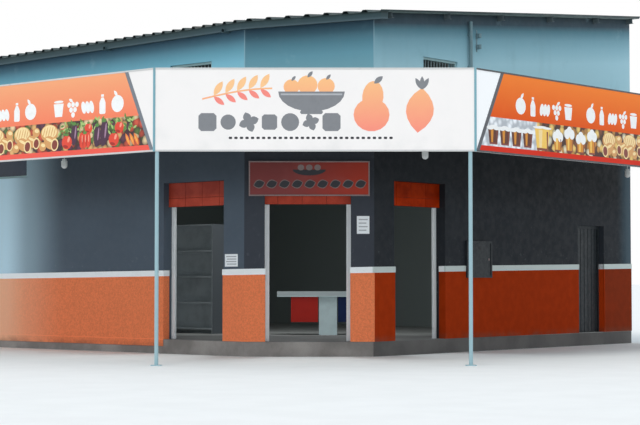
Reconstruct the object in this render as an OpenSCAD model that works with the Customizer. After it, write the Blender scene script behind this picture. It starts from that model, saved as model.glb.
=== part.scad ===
// Corner supermarket: a single high storey with a chamfered corner, a flat canopy and a sheet roof.
// Millimetres, +Z up. The front wall faces -Y, the side wall faces +X, the chamfer joins the two.

/* [Building] */
// Length of the building along X, over the walls
building_x = 11000; // [9000:10:13000]
// Depth of the building along Y, over the walls
building_y = 9740; // [9000:10:12000]
// Length that the chamfer takes off the front wall
corner_cut_x = 1652; // [1500:1:1900]
// Length that the chamfer takes off the side wall
corner_cut_y = 1416; // [1300:1:1700]
// Thickness of the outer walls
wall_t = 200; // [150:5:260]
// Height of the floor slab and its plinth above the lowest ground
floor_h = 250; // [150:5:400]

/* [Shop openings] */
// Width of each of the three shop openings
opening_w = 1450; // [1200:5:1600]
// Level of the wall's head over the shop openings
opening_top = 2970; // [2800:5:3100]
// Height of the tiled panel that closes the top of an opening
transom_h = 420; // [300:5:500]
// Distance from the wall face in to the tiled panel
transom_recess = 130; // [80:5:140]
// Thickness of the tiled panel
transom_t = 60; // [40:5:70]
// Distance from the chamfer to the front opening
front_opening_at = 475; // [400:5:700]
// Distance from the left end of the chamfer to the doorway
doorway_at = 338; // [320:1:360]
// Distance from the chamfer to the side opening
side_opening_at = 540; // [450:5:700]

/* [Windows] */
// Width of the two vent windows over the canopy
vent_w = 1000; // [700:5:1200]
// Height of the two vent windows
vent_h = 600; // [400:5:700]
// Sill level of the front vent window
front_vent_sill = 4415; // [4380:5:4500]
// Sill level of the side vent window
side_vent_sill = 4565; // [4450:5:4650]
// Distance from the chamfer to the front vent window
front_vent_at = 770; // [600:5:1500]
// Distance from the chamfer to the side vent window
side_vent_at = 1370; // [1000:5:1500]
// Width of the high window under the canopy
high_window_w = 1500; // [900:5:2000]
// Height of the high window
high_window_h = 700; // [400:5:750]
// Sill level of the high window
high_window_sill = 3210; // [3100:5:3300]
// Distance from the chamfer to the high window
high_window_at = 5610; // [5000:5:6200]
// Width of the window frames' bars
frame_bar = 40; // [25:1:60]
// Depth of the window frames
frame_depth = 60; // [40:5:80]
// Distance from the wall face in to the window frames
frame_recess = 30; // [10:5:60]

/* [Wall finish] */
// Level of the top of the coloured dado at the left end of the chamfer
dado_top = 1365; // [1200:5:1450]
// Rise of the dado's top per metre along the front wall, which follows the street
dado_rise_x = 10; // [0:1:15]
// Rise of the dado's top per metre along the side wall
dado_rise_y = 13; // [0:1:18]
// Level of the dado's foot on the left wing, where it covers the plinth
dado_foot = 130; // [60:5:200]
// Thickness of the dado's plaster
dado_t = 12; // [8:1:20]
// Height of the white band over the dado
band_h = 100; // [60:5:140]
// Thickness of the white band
band_t = 18; // [14:1:24]

/* [Side door] */
// Distance from the chamfer to the side door's opening
side_door_at = 6320; // [6000:5:6500]
// Width of the side door's opening
side_door_w = 960; // [850:5:1000]
// Height of the side door's opening above the floor
side_door_h = 2100; // [2000:5:2300]
// Width of the door frame's face
door_frame_w = 40; // [30:1:60]
// Distance from the wall face in to the door frame
door_frame_recess = 110; // [60:5:120]
// Depth of the door frame
door_frame_depth = 70; // [65:1:80]
// Thickness of the door leaf
door_leaf_t = 40; // [30:1:45]
// Gap all round the door leaf
door_gap = 8; // [6:1:12]
// Number of pressed ribs on the door leaf
door_ribs = 6; // [4:1:9]
// Radius of the hinge knuckles
knuckle_r = 9; // [8:0.5:12]
// Radius of the hinge pins
pin_r = 5; // [4:0.5:6]
// Radial clearance of the hinge pins
pin_clearance = 0.3; // [0.2:0.05:0.5]
// Length of each hinge knuckle
knuckle_len = 60; // [40:5:90]
// Height of the door handle above the floor
handle_h = 1000; // [900:10:1100]

/* [Roller shutters] */
// Width of a shutter guide that shows inside the opening
guide_show = 75; // [50:5:90]
// Width of a shutter guide that lies behind the wall
guide_hold = 60; // [40:5:80]
// Depth of the shutter guides
guide_depth = 40; // [30:1:60]
// Width of the slot in a shutter guide
guide_slot = 16; // [12:1:20]
// Radius of the rolled shutter
roll_r = 120; // [100:5:140]
// Thickness of the roll's end plates
roll_plate_t = 10; // [6:1:16]

/* [Canopy] */
// Reach of the canopy in front of the front wall
canopy_front = 3155; // [2800:5:3400]
// Reach of the canopy in front of the chamfer
canopy_corner = 3110; // [2800:5:3400]
// Reach of the canopy in front of the side wall
canopy_side = 3105; // [2800:5:3400]
// Level of the canopy's sheets at the walls
canopy_deck_z = 4260; // [4150:5:4300]
// Fall of the canopy's sheets towards the fascia, per metre
canopy_fall = 40; // [20:5:60]
// Height of the canopy's beams
canopy_beam_h = 120; // [80:5:160]
// Width of the canopy's beams
canopy_beam_w = 60; // [40:5:80]
// Distance between the canopy's beams
canopy_beam_pitch = 1850; // [1500:10:2000]
// Distance from the chamfer to the first front beam
front_beam_at = 915; // [600:5:1200]
// Distance from the chamfer to the first side beam
side_beam_at = 1932; // [1500:5:2000]

/* [Fascia] */
// Level of the fascia's lower edge
fascia_bottom = 3205; // [3100:5:3300]
// Height of the fascia
fascia_h = 1260; // [1100:5:1300]
// Thickness of the fascia's panels
fascia_t = 15; // [10:1:25]
// Side of the square tubes behind the fascia
fascia_tube = 40; // [30:5:50]
// Distance between the upright tubes behind the fascia
fascia_upright_pitch = 1170; // [900:10:1300]
// Width of the trim along the fascia's edges
trim_w = 25; // [15:1:40]
// Height of the trim above the panels
trim_t = 6; // [4:1:10]
// Width of the cover strips at the fascia's corners
seam_w = 36; // [24:2:50]

/* [Canopy posts] */
// Radius of the canopy's posts
post_r = 30; // [25:1:50]
// Distance of the left post from its end of the corner panel
post_inset_l = 30; // [25:5:200]
// Distance of the right post from its end of the corner panel
post_inset_r = 60; // [30:5:200]
// Side of the square base plates
base_plate = 160; // [120:5:200]
// Thickness of the base plates
base_plate_t = 12; // [8:1:16]

/* [Lamps] */
// Radius of the lamp jars
lamp_r = 52; // [40:1:70]
// Height of the lamp jars
lamp_h = 130; // [100:5:160]
// Level of the lamps' centres
lamp_z = 3250; // [3150:5:3400]
// Radius of the lamp stems
lamp_stem_r = 10; // [8:1:14]

/* [Sign board] */
// Width of the sign board over the doorway
sign_w = 2025; // [1800:5:2100]
// Height of the sign board
sign_h = 585; // [450:5:600]
// Level of the sign board's lower edge
sign_bottom = 2685; // [2650:5:2750]
// Depth of the sign board
sign_t = 40; // [25:1:60]
// Width of the sign board's frame
sign_frame = 22; // [15:1:30]

/* [Roof] */
// Level of the sheets' underside at the middle of the front eave
eave_z = 5540; // [5450:5:5600]
// Rise of the roof per metre towards the back
roof_rise = 99; // [60:1:130]
// Rise of the roof per metre towards the side wall
roof_side_rise = 15; // [0:1:30]
// Overhang of the sheets at the front, the chamfer and the back
overhang = 140; // [140:5:300]
// Overhang of the sheets at the two ends
verge = 180; // [120:5:300]
// Distance between the ribs of the sheets
rib_pitch = 245; // [200:5:300]
// Height of the ribs
rib_h = 42; // [25:1:50]
// Width of a rib at its foot
rib_foot = 95; // [60:1:120]
// Width of a rib at its top
rib_top = 42; // [20:1:55]
// Thickness of the sheets
sheet_t = 3; // [2:0.5:6]
// Distance between the purlins
purlin_pitch = 1650; // [1300:10:1800]
// Height of the purlins
purlin_h = 100; // [80:5:120]
// Width of the purlins' flanges
purlin_w = 50; // [40:5:70]
// Steel thickness of the purlins and the roof beams' webs
purlin_t = 6; // [4:0.5:8]
// Height of the roof beams
beam_h = 200; // [160:5:240]
// Width of the roof beams' flanges
beam_w = 100; // [80:5:120]
// Thickness of the roof beams' flanges
beam_flange = 10; // [8:1:14]
// Number of roof beams
beam_count = 2; // [1:1:3]

/* [Eave gutter] */
// Height of the eave gutter
gutter_h = 125; // [90:5:150]
// Width of the eave gutter
gutter_w = 140; // [100:5:180]
// Thickness of the gutter's sheet
gutter_t = 4; // [3:0.5:6]
// Width of the lip along the gutter's lower edge
gutter_lip = 8; // [4:1:14]
// Height of the lip
gutter_lip_h = 14; // [8:1:25]
// Radius of the gutter's spouts
spout_r = 36; // [30:1:45]
// Reach of the spouts in front of the gutter
spout_reach = 50; // [20:5:90]
// Distance from the chamfer to the first spout
spout_at = 330; // [200:5:800]
// Distance between the two spouts
spout_pitch = 2940; // [2500:5:3500]

/* [Meter box and service mast] */
// Width of the meter box
meter_w = 775; // [600:5:900]
// Height of the meter box
meter_h = 660; // [500:5:700]
// Depth of the meter box in front of the wall
meter_t = 45; // [35:1:80]
// Distance from the chamfer to the meter box
meter_at = 2590; // [2300:5:3000]
// Level of the meter box's lower edge
meter_z = 1320; // [1200:5:1400]
// Radius of the service mast
mast_r = 32; // [25:1:40]
// Distance from the chamfer to the service mast
mast_at = 2710; // [2500:5:3000]
// Level of the service mast's top
mast_top = 5920; // [5800:5:5950]
// Distance from the wall to the mast's side
mast_gap = 20; // [10:1:40]
// Height of the rack for the service lines
rack_h = 400; // [300:5:450]
// Distance from the mast's top down to the rack's foot
rack_drop = 520; // [450:5:700]
// Width of the rack's flat bars
rack_w = 30; // [20:1:40]
// Thickness of the rack's flat bars
rack_t = 6; // [4:0.5:8]
// Reach of the rack's arms in front of the wall
rack_reach = 100; // [80:5:130]

/* [Fittings inside] */
// Width of the checkout counter
counter_w = 1450; // [1000:10:1600]
// Depth of the checkout counter
counter_d = 560; // [500:10:800]
// Height of the checkout counter above the floor
counter_h = 820; // [700:10:950]
// Distance of the counter behind the chamfer wall
counter_at = 3500; // [3000:10:3800]
// Width of the shelf unit
shelf_w = 1300; // [900:10:1600]
// Depth of the shelf unit
shelf_d = 450; // [350:10:600]
// Height of the shelf unit above the floor
shelf_h = 2100; // [1800:10:2300]
// Number of shelf boards over the lowest one
shelf_count = 4; // [3:1:6]
// Distance of the shelf unit behind the front wall
shelf_at = 2670; // [2400:10:3000]

/* [Hidden] */
$fn = 32;

half_x = building_x / 2;
half_y = building_y / 2;
transom_bottom = opening_top - transom_h;
roof_angle = atan(roof_rise / 1000);
roof_side_angle = atan(roof_side_rise / 1000);
eave_y = -half_y - overhang;
far = 40000;

// The chamfer runs along cut_dir from corner_l to corner_r, and faces cut_out.
cut_len = sqrt(corner_cut_x * corner_cut_x + corner_cut_y * corner_cut_y);
cut_dir = [corner_cut_x / cut_len, corner_cut_y / cut_len];
cut_out = [cut_dir.y, -cut_dir.x];
cut_angle = atan2(corner_cut_y, corner_cut_x);
corner_l = [half_x - corner_cut_x, -half_y];
corner_r = [half_x, -half_y + corner_cut_y];
front_len = building_x - corner_cut_x;
side_len = building_y - corner_cut_y;
mitre_l = tan(cut_angle / 2);
mitre_r = tan((90 - cut_angle) / 2);

front_opening_end = front_opening_at + opening_w;
doorway_end = doorway_at + opening_w;
side_opening_end = side_opening_at + opening_w;
side_door_end = side_door_at + side_door_w;
side_door_top = floor_h + side_door_h;
fascia_top = fascia_bottom + fascia_h;
canopy_angle = atan(canopy_fall / 1000);

// Slanted faces that meet stay this far apart, since their corners are rounded off when they are saved.
seat = 0.1;

// A point of a wall's plan: s runs along the wall from the chamfer, d runs into the building.
function on_front(s, d) = [corner_l.x - s, corner_l.y + d];
function on_corner(s, d) = corner_l + cut_dir * s - cut_out * d;
function on_side(s, d) = [corner_r.x - d, corner_r.y + s];
function on_wall(wall, s, d) =
    wall == "front" ? on_front(s, d) : wall == "side" ? on_side(s, d) : on_corner(s, d);

// Where the front and chamfer lines, or the chamfer and side lines, meet once moved outwards.
function meet_l(front, corner) =
    corner_l + cut_out * corner + cut_dir * ((cut_dir.x * corner - front) / cut_dir.y);
function meet_r(side, corner) =
    corner_r + cut_out * corner + cut_dir * ((side - cut_dir.y * corner) / cut_dir.x);

// The plan of the building, moved outwards by one distance for each side.
function outline(front, corner, side, back, left) = [
    [-half_x - left, -half_y - front], meet_l(front, corner), meet_r(side, corner),
    [half_x + side, half_y + back], [-half_x - left, half_y + back]
];

// Lays children in the roof's plane: z is 0 at the sheets' underside, y runs up the slope.
module on_roof() {
    translate([0, eave_y, eave_z]) rotate([roof_angle, -roof_side_angle, 0]) children();
}

// Level of the sheets' underside at a point of the plan.
function roof_level(x, y) = eave_z + (y - eave_y) * roof_rise / 1000 + x * roof_side_rise / 1000;

module under_roof() {
    on_roof() translate([-far / 2, -far / 2, -far - seat]) cube(far);
}

// Lays children on a wall: x runs along it from its chamfer end, or towards it on the front, -y is outwards.
module at_wall(wall, s, d, z) {
    place = on_wall(wall, s, d);
    turn = wall == "front" ? 0 : wall == "side" ? 90 : cut_angle;
    translate([place.x, place.y, z]) rotate([0, 0, turn]) children();
}

// A block on a wall, from s0 to s1 along it, d0 to d1 into the building and z0 to z1 up.
module wall_block(wall, s0, s1, d0, d1, z0, z1) {
    translate([0, 0, z0]) linear_extrude(z1 - z0)
        polygon([on_wall(wall, s0, d0), on_wall(wall, s1, d0), on_wall(wall, s1, d1), on_wall(wall, s0, d1)]);
}

module prism(points, z0, z1) {
    translate([0, 0, z0]) linear_extrude(z1 - z0) polygon(points);
}

module floor_slab() {
    color("darkgray") prism(outline(0, 0, 0, 0, 0), 0, floor_h);
}

// Walls

inner_l = meet_l(-wall_t, -wall_t);
inner_r = meet_r(-wall_t, -wall_t);

// The plan of the chamfer's wall, or of a part of it from s0 to s1, with a seat all round.
function chamfer_plan(s0, s1, mitre0 = 0, mitre1 = 0) = [
    for (d = [seat, wall_t - seat]) each d == seat
        ? [on_corner(s0 + mitre0 * d + seat, d), on_corner(s1 - mitre1 * d - seat, d)]
        : [on_corner(s1 - mitre1 * d - seat, d), on_corner(s0 + mitre0 * d + seat, d)]
];

module front_wall_left() {
    color("slategray")
        wall_block("front", front_opening_end, front_len, 0, wall_t, floor_h, opening_top);
}

module front_wall_pier() {
    color("slategray") prism(
        [corner_l, inner_l, on_front(front_opening_at, wall_t), on_front(front_opening_at, 0)],
        floor_h, opening_top);
}

module front_wall_upper() {
    color("slategray") difference() {
        intersection() {
            prism([corner_l, inner_l, on_front(front_len, wall_t), on_front(front_len, 0)],
                opening_top, far);
            under_roof();
        }
        vent_hole("front", front_vent_at, front_vent_sill);
        wall_block("front", high_window_at, high_window_at + high_window_w, -1, wall_t + 1,
            high_window_sill, high_window_sill + high_window_h);
        roof_steel_pockets();
    }
}

module corner_pier_left() {
    color("slategray") prism(chamfer_plan(0, doorway_at, mitre0 = mitre_l), floor_h, opening_top);
}

module corner_pier_right() {
    color("slategray") prism(chamfer_plan(doorway_end, cut_len, mitre1 = mitre_r), floor_h, opening_top);
}

module corner_wall_upper() {
    color("slategray") difference() {
        intersection() {
            prism(chamfer_plan(0, cut_len, mitre_l, mitre_r), opening_top, far);
            under_roof();
        }
        roof_steel_pockets();
    }
}

module side_wall_front_pier() {
    color("slategray") prism(
        [corner_r, on_side(side_opening_at, 0), on_side(side_opening_at, wall_t), inner_r],
        floor_h, opening_top);
}

module side_wall_middle() {
    color("slategray")
        wall_block("side", side_opening_end, side_door_at, 0, wall_t, floor_h, opening_top);
}

module side_wall_rear() {
    color("slategray")
        wall_block("side", side_door_end, side_len - wall_t, 0, wall_t, floor_h, opening_top);
}

module side_door_head() {
    color("slategray")
        wall_block("side", side_door_at, side_door_end, 0, wall_t, side_door_top, opening_top);
}

module side_wall_upper() {
    color("slategray") difference() {
        intersection() {
            prism([corner_r, on_side(side_len - wall_t, 0), on_side(side_len - wall_t, wall_t), inner_r],
                opening_top, far);
            under_roof();
        }
        vent_hole("side", side_vent_at, side_vent_sill);
        roof_steel_pockets();
    }
}

module back_wall() {
    color("slategray") difference() {
        intersection() {
            translate([-half_x, half_y - wall_t, floor_h]) cube([building_x, wall_t, far]);
            under_roof();
        }
        roof_steel_pockets();
    }
}

module left_party_wall() {
    color("slategray") difference() {
        intersection() {
            translate([-half_x, -half_y + wall_t, floor_h])
                cube([wall_t, building_y - 2 * wall_t, far]);
            under_roof();
        }
        roof_steel_pockets();
    }
}

module vent_hole(wall, s, sill) {
    wall_block(wall, s, s + vent_w, -1, wall_t + 1, sill, sill + vent_h);
}

// Dado and white band: a facing of thickness t along the wall face, with returns into the openings

reveal = transom_recess;

// One stretch of facing from s0 to s1. A return r0 or r1 lines the opening beyond that end,
// and a mitre m0 or m1 meets the facing round a corner of the building.
function stretch(wall, s0, s1, t, r0 = 0, r1 = 0, m0 = 0, m1 = 0) =
    let (
        start = r0 > 0 ? [[s0, 0], [s0, r0], [s0 - t, r0], [s0 - t, -t]] : [[s0, 0], [s0 - m0 * t, -t]],
        end = r1 > 0 ? [[s1 + t, -t], [s1 + t, r1], [s1, r1], [s1, 0]] : [[s1 + m1 * t, -t], [s1, 0]]
    )
    [for (p = concat(start, end)) on_wall(wall, p.x, p.y)];

module front_facing(t, z0, z1) {
    prism(stretch("front", 0, front_opening_at, t, r1 = reveal, m0 = mitre_l), z0, z1);
    prism(stretch("front", front_opening_end, front_len, t, r0 = reveal), z0, z1);
}

module corner_facing(t, z0, z1) {
    prism(stretch("corner", 0, doorway_at, t, r1 = reveal, m0 = mitre_l), z0, z1);
    prism(stretch("corner", doorway_end, cut_len, t, r0 = reveal, m1 = mitre_r), z0, z1);
}

module side_facing(t, z0, z1) {
    prism(stretch("side", 0, side_opening_at, t, r1 = reveal, m0 = mitre_r), z0, z1);
    difference() {
        prism(stretch("side", side_opening_end, side_door_at, t, r0 = reveal, r1 = door_frame_recess),
            z0, z1);
        meter_box_body();
    }
    prism(stretch("side", side_door_end, side_len, t, r0 = door_frame_recess), z0, z1);
}

// Keeps what lies under the line that rises with the street, moved up by lift.
module under_street_line(lift) {
    intersection() {
        children();
        translate([corner_l.x, corner_l.y, dado_top + lift])
            rotate([atan(dado_rise_y / 1000), -atan(dado_rise_x / 1000), 0])
                translate([-far / 2, -far / 2, -far]) cube(far);
    }
}

// The dado of the left wing goes down over the plinth, and it goes on round the chamfer.
module dado_front() {
    color("chocolate") {
        under_street_line(-seat) front_facing(dado_t, floor_h, 2 * dado_top);
        under_street_line(-seat) corner_facing(dado_t, floor_h, 2 * dado_top);
        prism(stretch("front", front_opening_end, front_len, dado_t), dado_foot, floor_h + 1);
    }
}

module dado_side() {
    color("firebrick") under_street_line(-seat) side_facing(dado_t, floor_h, 2 * dado_top);
}

module white_band() {
    color("white") difference() {
        under_street_line(band_h) {
            front_facing(band_t, floor_h, 2 * dado_top);
            corner_facing(band_t, floor_h, 2 * dado_top);
            side_facing(band_t, floor_h, 2 * dado_top);
        }
        under_street_line(0) prism(outline(far, far, far, far, far), 0, 2 * dado_top);
    }
}

// Tiled panels and roller shutters in the three shop openings

shop_openings = [["front", front_opening_at], ["corner", doorway_at], ["side", side_opening_at]];

module tiled_transoms() {
    color("orangered") for (o = shop_openings)
        wall_block(o[0], o[1], o[1] + opening_w, transom_recess, transom_recess + transom_t,
            transom_bottom, opening_top);
}

guide_top = transom_bottom + transom_h / 4;
curtain_d = wall_t + guide_depth / 2;
roll_d = curtain_d + roll_r;
roll_plate_rim = roll_plate_t / 2;
roll_z = guide_top + roll_r + roll_plate_t;

// A channel against the wall's inner face, with its slot towards the middle of the opening.
module shutter_guide(wall, edge, inward) {
    difference() {
        wall_block(wall, edge - inward * guide_hold, edge + inward * guide_show, wall_t,
            wall_t + guide_depth, floor_h, guide_top);
        wall_block(wall, edge, edge + inward * (guide_show + 1), curtain_d - guide_slot / 2,
            curtain_d + guide_slot / 2, floor_h - 1, guide_top + 1);
    }
}

// The rolled-up shutter behind a tiled panel, between two end plates on the wall.
module shutter_roll(wall, edge) {
    start = edge - guide_hold;
    end = edge + opening_w + guide_hold;
    axis_start = on_wall(wall, start, roll_d);
    run = on_wall(wall, end, roll_d) - axis_start;
    translate([axis_start.x, axis_start.y, roll_z]) rotate([0, 0, atan2(run.y, run.x)])
        rotate([0, 90, 0]) cylinder(r = roll_r, h = norm(run));
    for (s = [start - roll_plate_t, end])
        wall_block(wall, s, s + roll_plate_t, wall_t, roll_d + roll_r + roll_plate_rim,
            roll_z - roll_r - roll_plate_rim, roll_z + roll_r + roll_plate_rim);
}

module roller_shutters() {
    color("gainsboro") for (o = shop_openings) {
        shutter_guide(o[0], o[1], 1);
        shutter_guide(o[0], o[1] + opening_w, -1);
        shutter_roll(o[0], o[1]);
    }
}

// Sign board over the doorway

sign_s = (cut_len - sign_w) / 2;

module sign_frame_bars() {
    color("silver") difference() {
        wall_block("corner", sign_s, sign_s + sign_w, -sign_t, 0, sign_bottom, sign_bottom + sign_h);
        wall_block("corner", sign_s + sign_frame, sign_s + sign_w - sign_frame, -sign_t - 1, 1,
            sign_bottom + sign_frame, sign_bottom + sign_h - sign_frame);
    }
}

module sign_panel() {
    color("indianred")
        wall_block("corner", sign_s + sign_frame + seat, sign_s + sign_w - sign_frame - seat,
            -sign_t * 0.8, 0, sign_bottom + sign_frame, sign_bottom + sign_h - sign_frame);
}

// Side door: a steel frame and a ribbed leaf that turns inwards on three lift-off hinges

leaf_s0 = side_door_at + door_frame_w + door_gap;
leaf_s1 = side_door_end - door_frame_w - door_gap;
leaf_z0 = floor_h + door_gap;
leaf_z1 = side_door_top - door_frame_w - door_gap;
leaf_d0 = door_frame_recess + door_frame_depth - door_leaf_t - door_gap;
leaf_d1 = leaf_d0 + door_leaf_t;
stop_t = leaf_d0 - door_gap - door_frame_recess;
hinge_s = leaf_s1 - door_gap;
hinge_d = leaf_d1 + knuckle_r - 1;
hinge_levels = [leaf_z0 + 200, (leaf_z0 + leaf_z1) / 2, leaf_z1 - 200 - 2 * knuckle_len];
leaf_rib_w = (leaf_s1 - leaf_s0) / (2 * door_ribs + 1);
leaf_rib_t = 6;
hinge_play = 1;
handle_z = floor_h + handle_h;
handle_s = leaf_s0 + 60;

// The frame's jambs and head, with a stop that the leaf closes against.
module side_door_frame() {
    lap = door_frame_w + door_gap + 12;
    depth_end = door_frame_recess + door_frame_depth;
    color("dimgray") {
        difference() {
            wall_block("side", side_door_at, side_door_end, door_frame_recess, depth_end,
                floor_h, side_door_top);
            wall_block("side", side_door_at + door_frame_w, side_door_end - door_frame_w,
                door_frame_recess + stop_t, depth_end + 1, floor_h - 1, side_door_top - door_frame_w);
            wall_block("side", side_door_at + lap, side_door_end - lap,
                door_frame_recess - 1, depth_end, floor_h - 1, side_door_top - lap);
        }
        for (z = hinge_levels) frame_knuckle(z);
    }
}

// The lower knuckle of a hinge, on a plate from the frame, with the pin that stands up out of it.
module frame_knuckle(z) {
    plate_t = knuckle_r * 0.6;
    wall_block("side", hinge_s, side_door_end - door_frame_w, hinge_d - plate_t / 2,
        hinge_d + plate_t / 2, z, z + knuckle_len);
    at_wall("side", hinge_s, hinge_d, z) {
        cylinder(r = knuckle_r, h = knuckle_len);
        cylinder(r = pin_r, h = 2 * knuckle_len);
    }
}

module side_door() {
    color("darkslategray") {
        difference() {
            union() {
                wall_block("side", leaf_s0, leaf_s1, leaf_d0 + leaf_rib_t, leaf_d1, leaf_z0, leaf_z1);
                for (i = [0:door_ribs]) {
                    s = leaf_s0 + 2 * i * leaf_rib_w;
                    wall_block("side", s, s + leaf_rib_w, leaf_d0, leaf_d0 + leaf_rib_t + 1,
                        leaf_z0, leaf_z1);
                }
                for (z = hinge_levels) at_wall("side", hinge_s, hinge_d, z + knuckle_len + hinge_play)
                    cylinder(r = knuckle_r, h = knuckle_len);
            }
            for (z = hinge_levels) {
                at_wall("side", hinge_s, hinge_d, z + knuckle_len)
                    cylinder(r = pin_r + pin_clearance, h = knuckle_len + 2 * hinge_play);
                at_wall("side", hinge_s, hinge_d, z - hinge_play)
                    cylinder(r = knuckle_r + hinge_play, h = knuckle_len + 2 * hinge_play);
            }
        }
        for (face = [leaf_d0 - 8, leaf_d1]) door_handle(face);
    }
}

// A lock plate of 8 mm with a short lever, on one face of the leaf.
module door_handle(face) {
    outside = face < leaf_d0;
    lever_d = outside ? face - 30 : face + 8;
    wall_block("side", handle_s - 20, handle_s + 20, face, face + 8, handle_z - 90, handle_z + 90);
    wall_block("side", handle_s - 8, handle_s + 8, lever_d, lever_d + 30, handle_z, handle_z + 16);
    wall_block("side", handle_s - 8, handle_s + 100, outside ? lever_d : lever_d + 18,
        outside ? lever_d + 12 : lever_d + 30, handle_z, handle_z + 16);
}

// Meter box and service mast

module meter_box_body() {
    wall_block("side", meter_at, meter_at + meter_w, -meter_t, 1, meter_z, meter_z + meter_h);
}

module meter_box() {
    border = 35;
    color("dimgray") difference() {
        wall_block("side", meter_at, meter_at + meter_w, -meter_t, 0, meter_z, meter_z + meter_h);
        wall_block("side", meter_at + border, meter_at + meter_w - border, -meter_t - 1,
            -meter_t + 12, meter_z + border, meter_z + meter_h - border);
    }
}

module service_mast() {
    clamp_levels = [canopy_deck_z + 300, (canopy_deck_z + mast_top) / 2, mast_top - 250];
    mast_foot = canopy_deck_z + rib_h + sheet_t;
    mast_d = -mast_gap - mast_r;
    rack_at = mast_at + 250;
    rack_z = mast_top - rack_drop;
    spool_r = 35;
    spool_h = 68;
    color("lightgray") {
        at_wall("side", mast_at, mast_d, mast_foot) cylinder(r = mast_r, h = mast_top - mast_foot);
        for (z = clamp_levels)
            wall_block("side", mast_at - mast_r, mast_at + mast_r, mast_d, 0, z, z + 30);
        wall_block("side", rack_at - rack_w / 2, rack_at + rack_w / 2, -rack_t, 0, rack_z, rack_z + rack_h);
        for (z = [rack_z + rack_h / 8, rack_z + rack_h * 5 / 8]) {
            for (arm_z = [z, z + rack_t + spool_h])
                wall_block("side", rack_at - rack_w / 2, rack_at + rack_w / 2, -rack_reach, 0,
                    arm_z, arm_z + rack_t);
            at_wall("side", rack_at, -rack_reach + spool_r, z + rack_t) cylinder(r = spool_r, h = spool_h);
        }
    }
}

// Window frames

module window_frame(wall, s, w, z, h) {
    difference() {
        wall_block(wall, s, s + w, frame_recess, frame_recess + frame_depth, z, z + h);
        wall_block(wall, s + frame_bar, s + w - frame_bar, frame_recess - 1,
            frame_recess + frame_depth + 1, z + frame_bar, z + h - frame_bar);
    }
}

// The frames of the two vent windows and of the high window under the canopy.
module window_frames() {
    color("lightsteelblue") {
        window_frame("front", front_vent_at, vent_w, front_vent_sill, vent_h);
        window_frame("side", side_vent_at, vent_w, side_vent_sill, vent_h);
        window_frame("front", high_window_at, high_window_w, high_window_sill, high_window_h);
    }
}

// Roof: beams up the slope, purlins across them and ribbed sheets on the purlins

purlin_last = half_y - wall_t / 2;
purlin_rows = concat(
    [for (y = -half_y + wall_t / 2; y < purlin_last - purlin_pitch / 2; y = y + purlin_pitch) y],
    [purlin_last]);
verge_inset = 40;
beam_bearing = wall_t * 0.6;

// A C-shaped purlin's profile, its back towards the eave and its top flange at z = 0.
module purlin_profile() {
    difference() {
        translate([-purlin_w / 2, -purlin_h]) square([purlin_w, purlin_h - seat]);
        translate([-purlin_w / 2 + purlin_t, -purlin_h + purlin_t])
            square([purlin_w, purlin_h - 2 * purlin_t]);
    }
}

module purlin_places() {
    for (y = purlin_rows)
        on_roof() translate([-far / 2, (y - eave_y) / cos(roof_angle), 0]) rotate([90, 0, 90]) children();
}

module roof_purlins() {
    color("lightgray") intersection() {
        purlin_places() linear_extrude(far) purlin_profile();
        prism(outline(-seat, -seat, verge - verge_inset, overhang - verge_inset, verge - verge_inset),
            0, far);
    }
}

function beam_x(i) = -half_x + building_x * (i + 1) / (beam_count + 1);

// Lays children along each roof beam, from one wall's bearing to the other's.
module beam_places() {
    for (i = [0:beam_count - 1]) intersection() {
        on_roof() translate([beam_x(i), 0, -purlin_h - seat]) rotate([-90, 0, 0]) children();
        translate([-far / 2, -half_y + wall_t - beam_bearing, 0])
            cube([far, building_y - 2 * (wall_t - beam_bearing), far]);
    }
}

module roof_beams() {
    web = (beam_w - purlin_t) / 2;
    color("gray") beam_places() linear_extrude(2 * building_y) difference() {
        translate([-beam_w / 2, 0]) square([beam_w, beam_h]);
        for (side = [-1, 1])
            translate([side * (web / 2 + purlin_t / 2) - web / 2 - (side > 0 ? 0 : 1), beam_flange])
                square([web + 1, beam_h - 2 * beam_flange]);
    }
}

// What the purlins and the roof beams take out of the walls that they bear on.
module roof_steel_pockets() {
    purlin_places() linear_extrude(far)
        translate([-purlin_w / 2 - seat, -purlin_h - seat]) square([purlin_w + 2 * seat, purlin_h + 1]);
    beam_places() linear_extrude(2 * building_y)
        translate([-beam_w / 2 - seat, -1]) square([beam_w + 2 * seat, beam_h + 1 + seat]);
}

// The cross-section of ribbed sheets from x = 0 to about width, with the pans' underside at y = 0.
module ribbed_profile(width) {
    count = floor(width / rib_pitch);
    low = [for (i = [0:count - 1]) let (x = (i + 0.5) * rib_pitch)
        each [[x - rib_foot / 2, 0], [x - rib_top / 2, rib_h],
            [x + rib_top / 2, rib_h], [x + rib_foot / 2, 0]]];
    all_low = concat([[0, 0]], low, [[width, 0]]);
    high = [for (i = [len(all_low) - 1:-1:0]) [all_low[i].x, all_low[i].y + sheet_t]];
    polygon(concat(all_low, high));
}

module roof_sheets() {
    color("dimgray") intersection() {
        on_roof() translate([-half_x - verge, far / 2, 0]) rotate([90, 0, 0]) linear_extrude(far)
            ribbed_profile(building_x + 2 * verge + rib_pitch);
        prism(outline(overhang, overhang, verge, overhang, verge), 0, far);
    }
}

// A band along the front and chamfer eaves, between two distances from the walls.
module eave_band(outer, inner, end_inset, top, depth) {
    left = -half_x - verge + end_inset;
    right = verge - end_inset;
    intersection() {
        prism([[left, -half_y - outer], meet_l(outer, outer), meet_r(right, outer),
            meet_r(right, inner), meet_l(inner, inner), [left, -half_y - inner]], 0, far);
        on_roof() translate([-far / 2, -far / 2, top - depth]) cube([far, far, depth]);
    }
}

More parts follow.
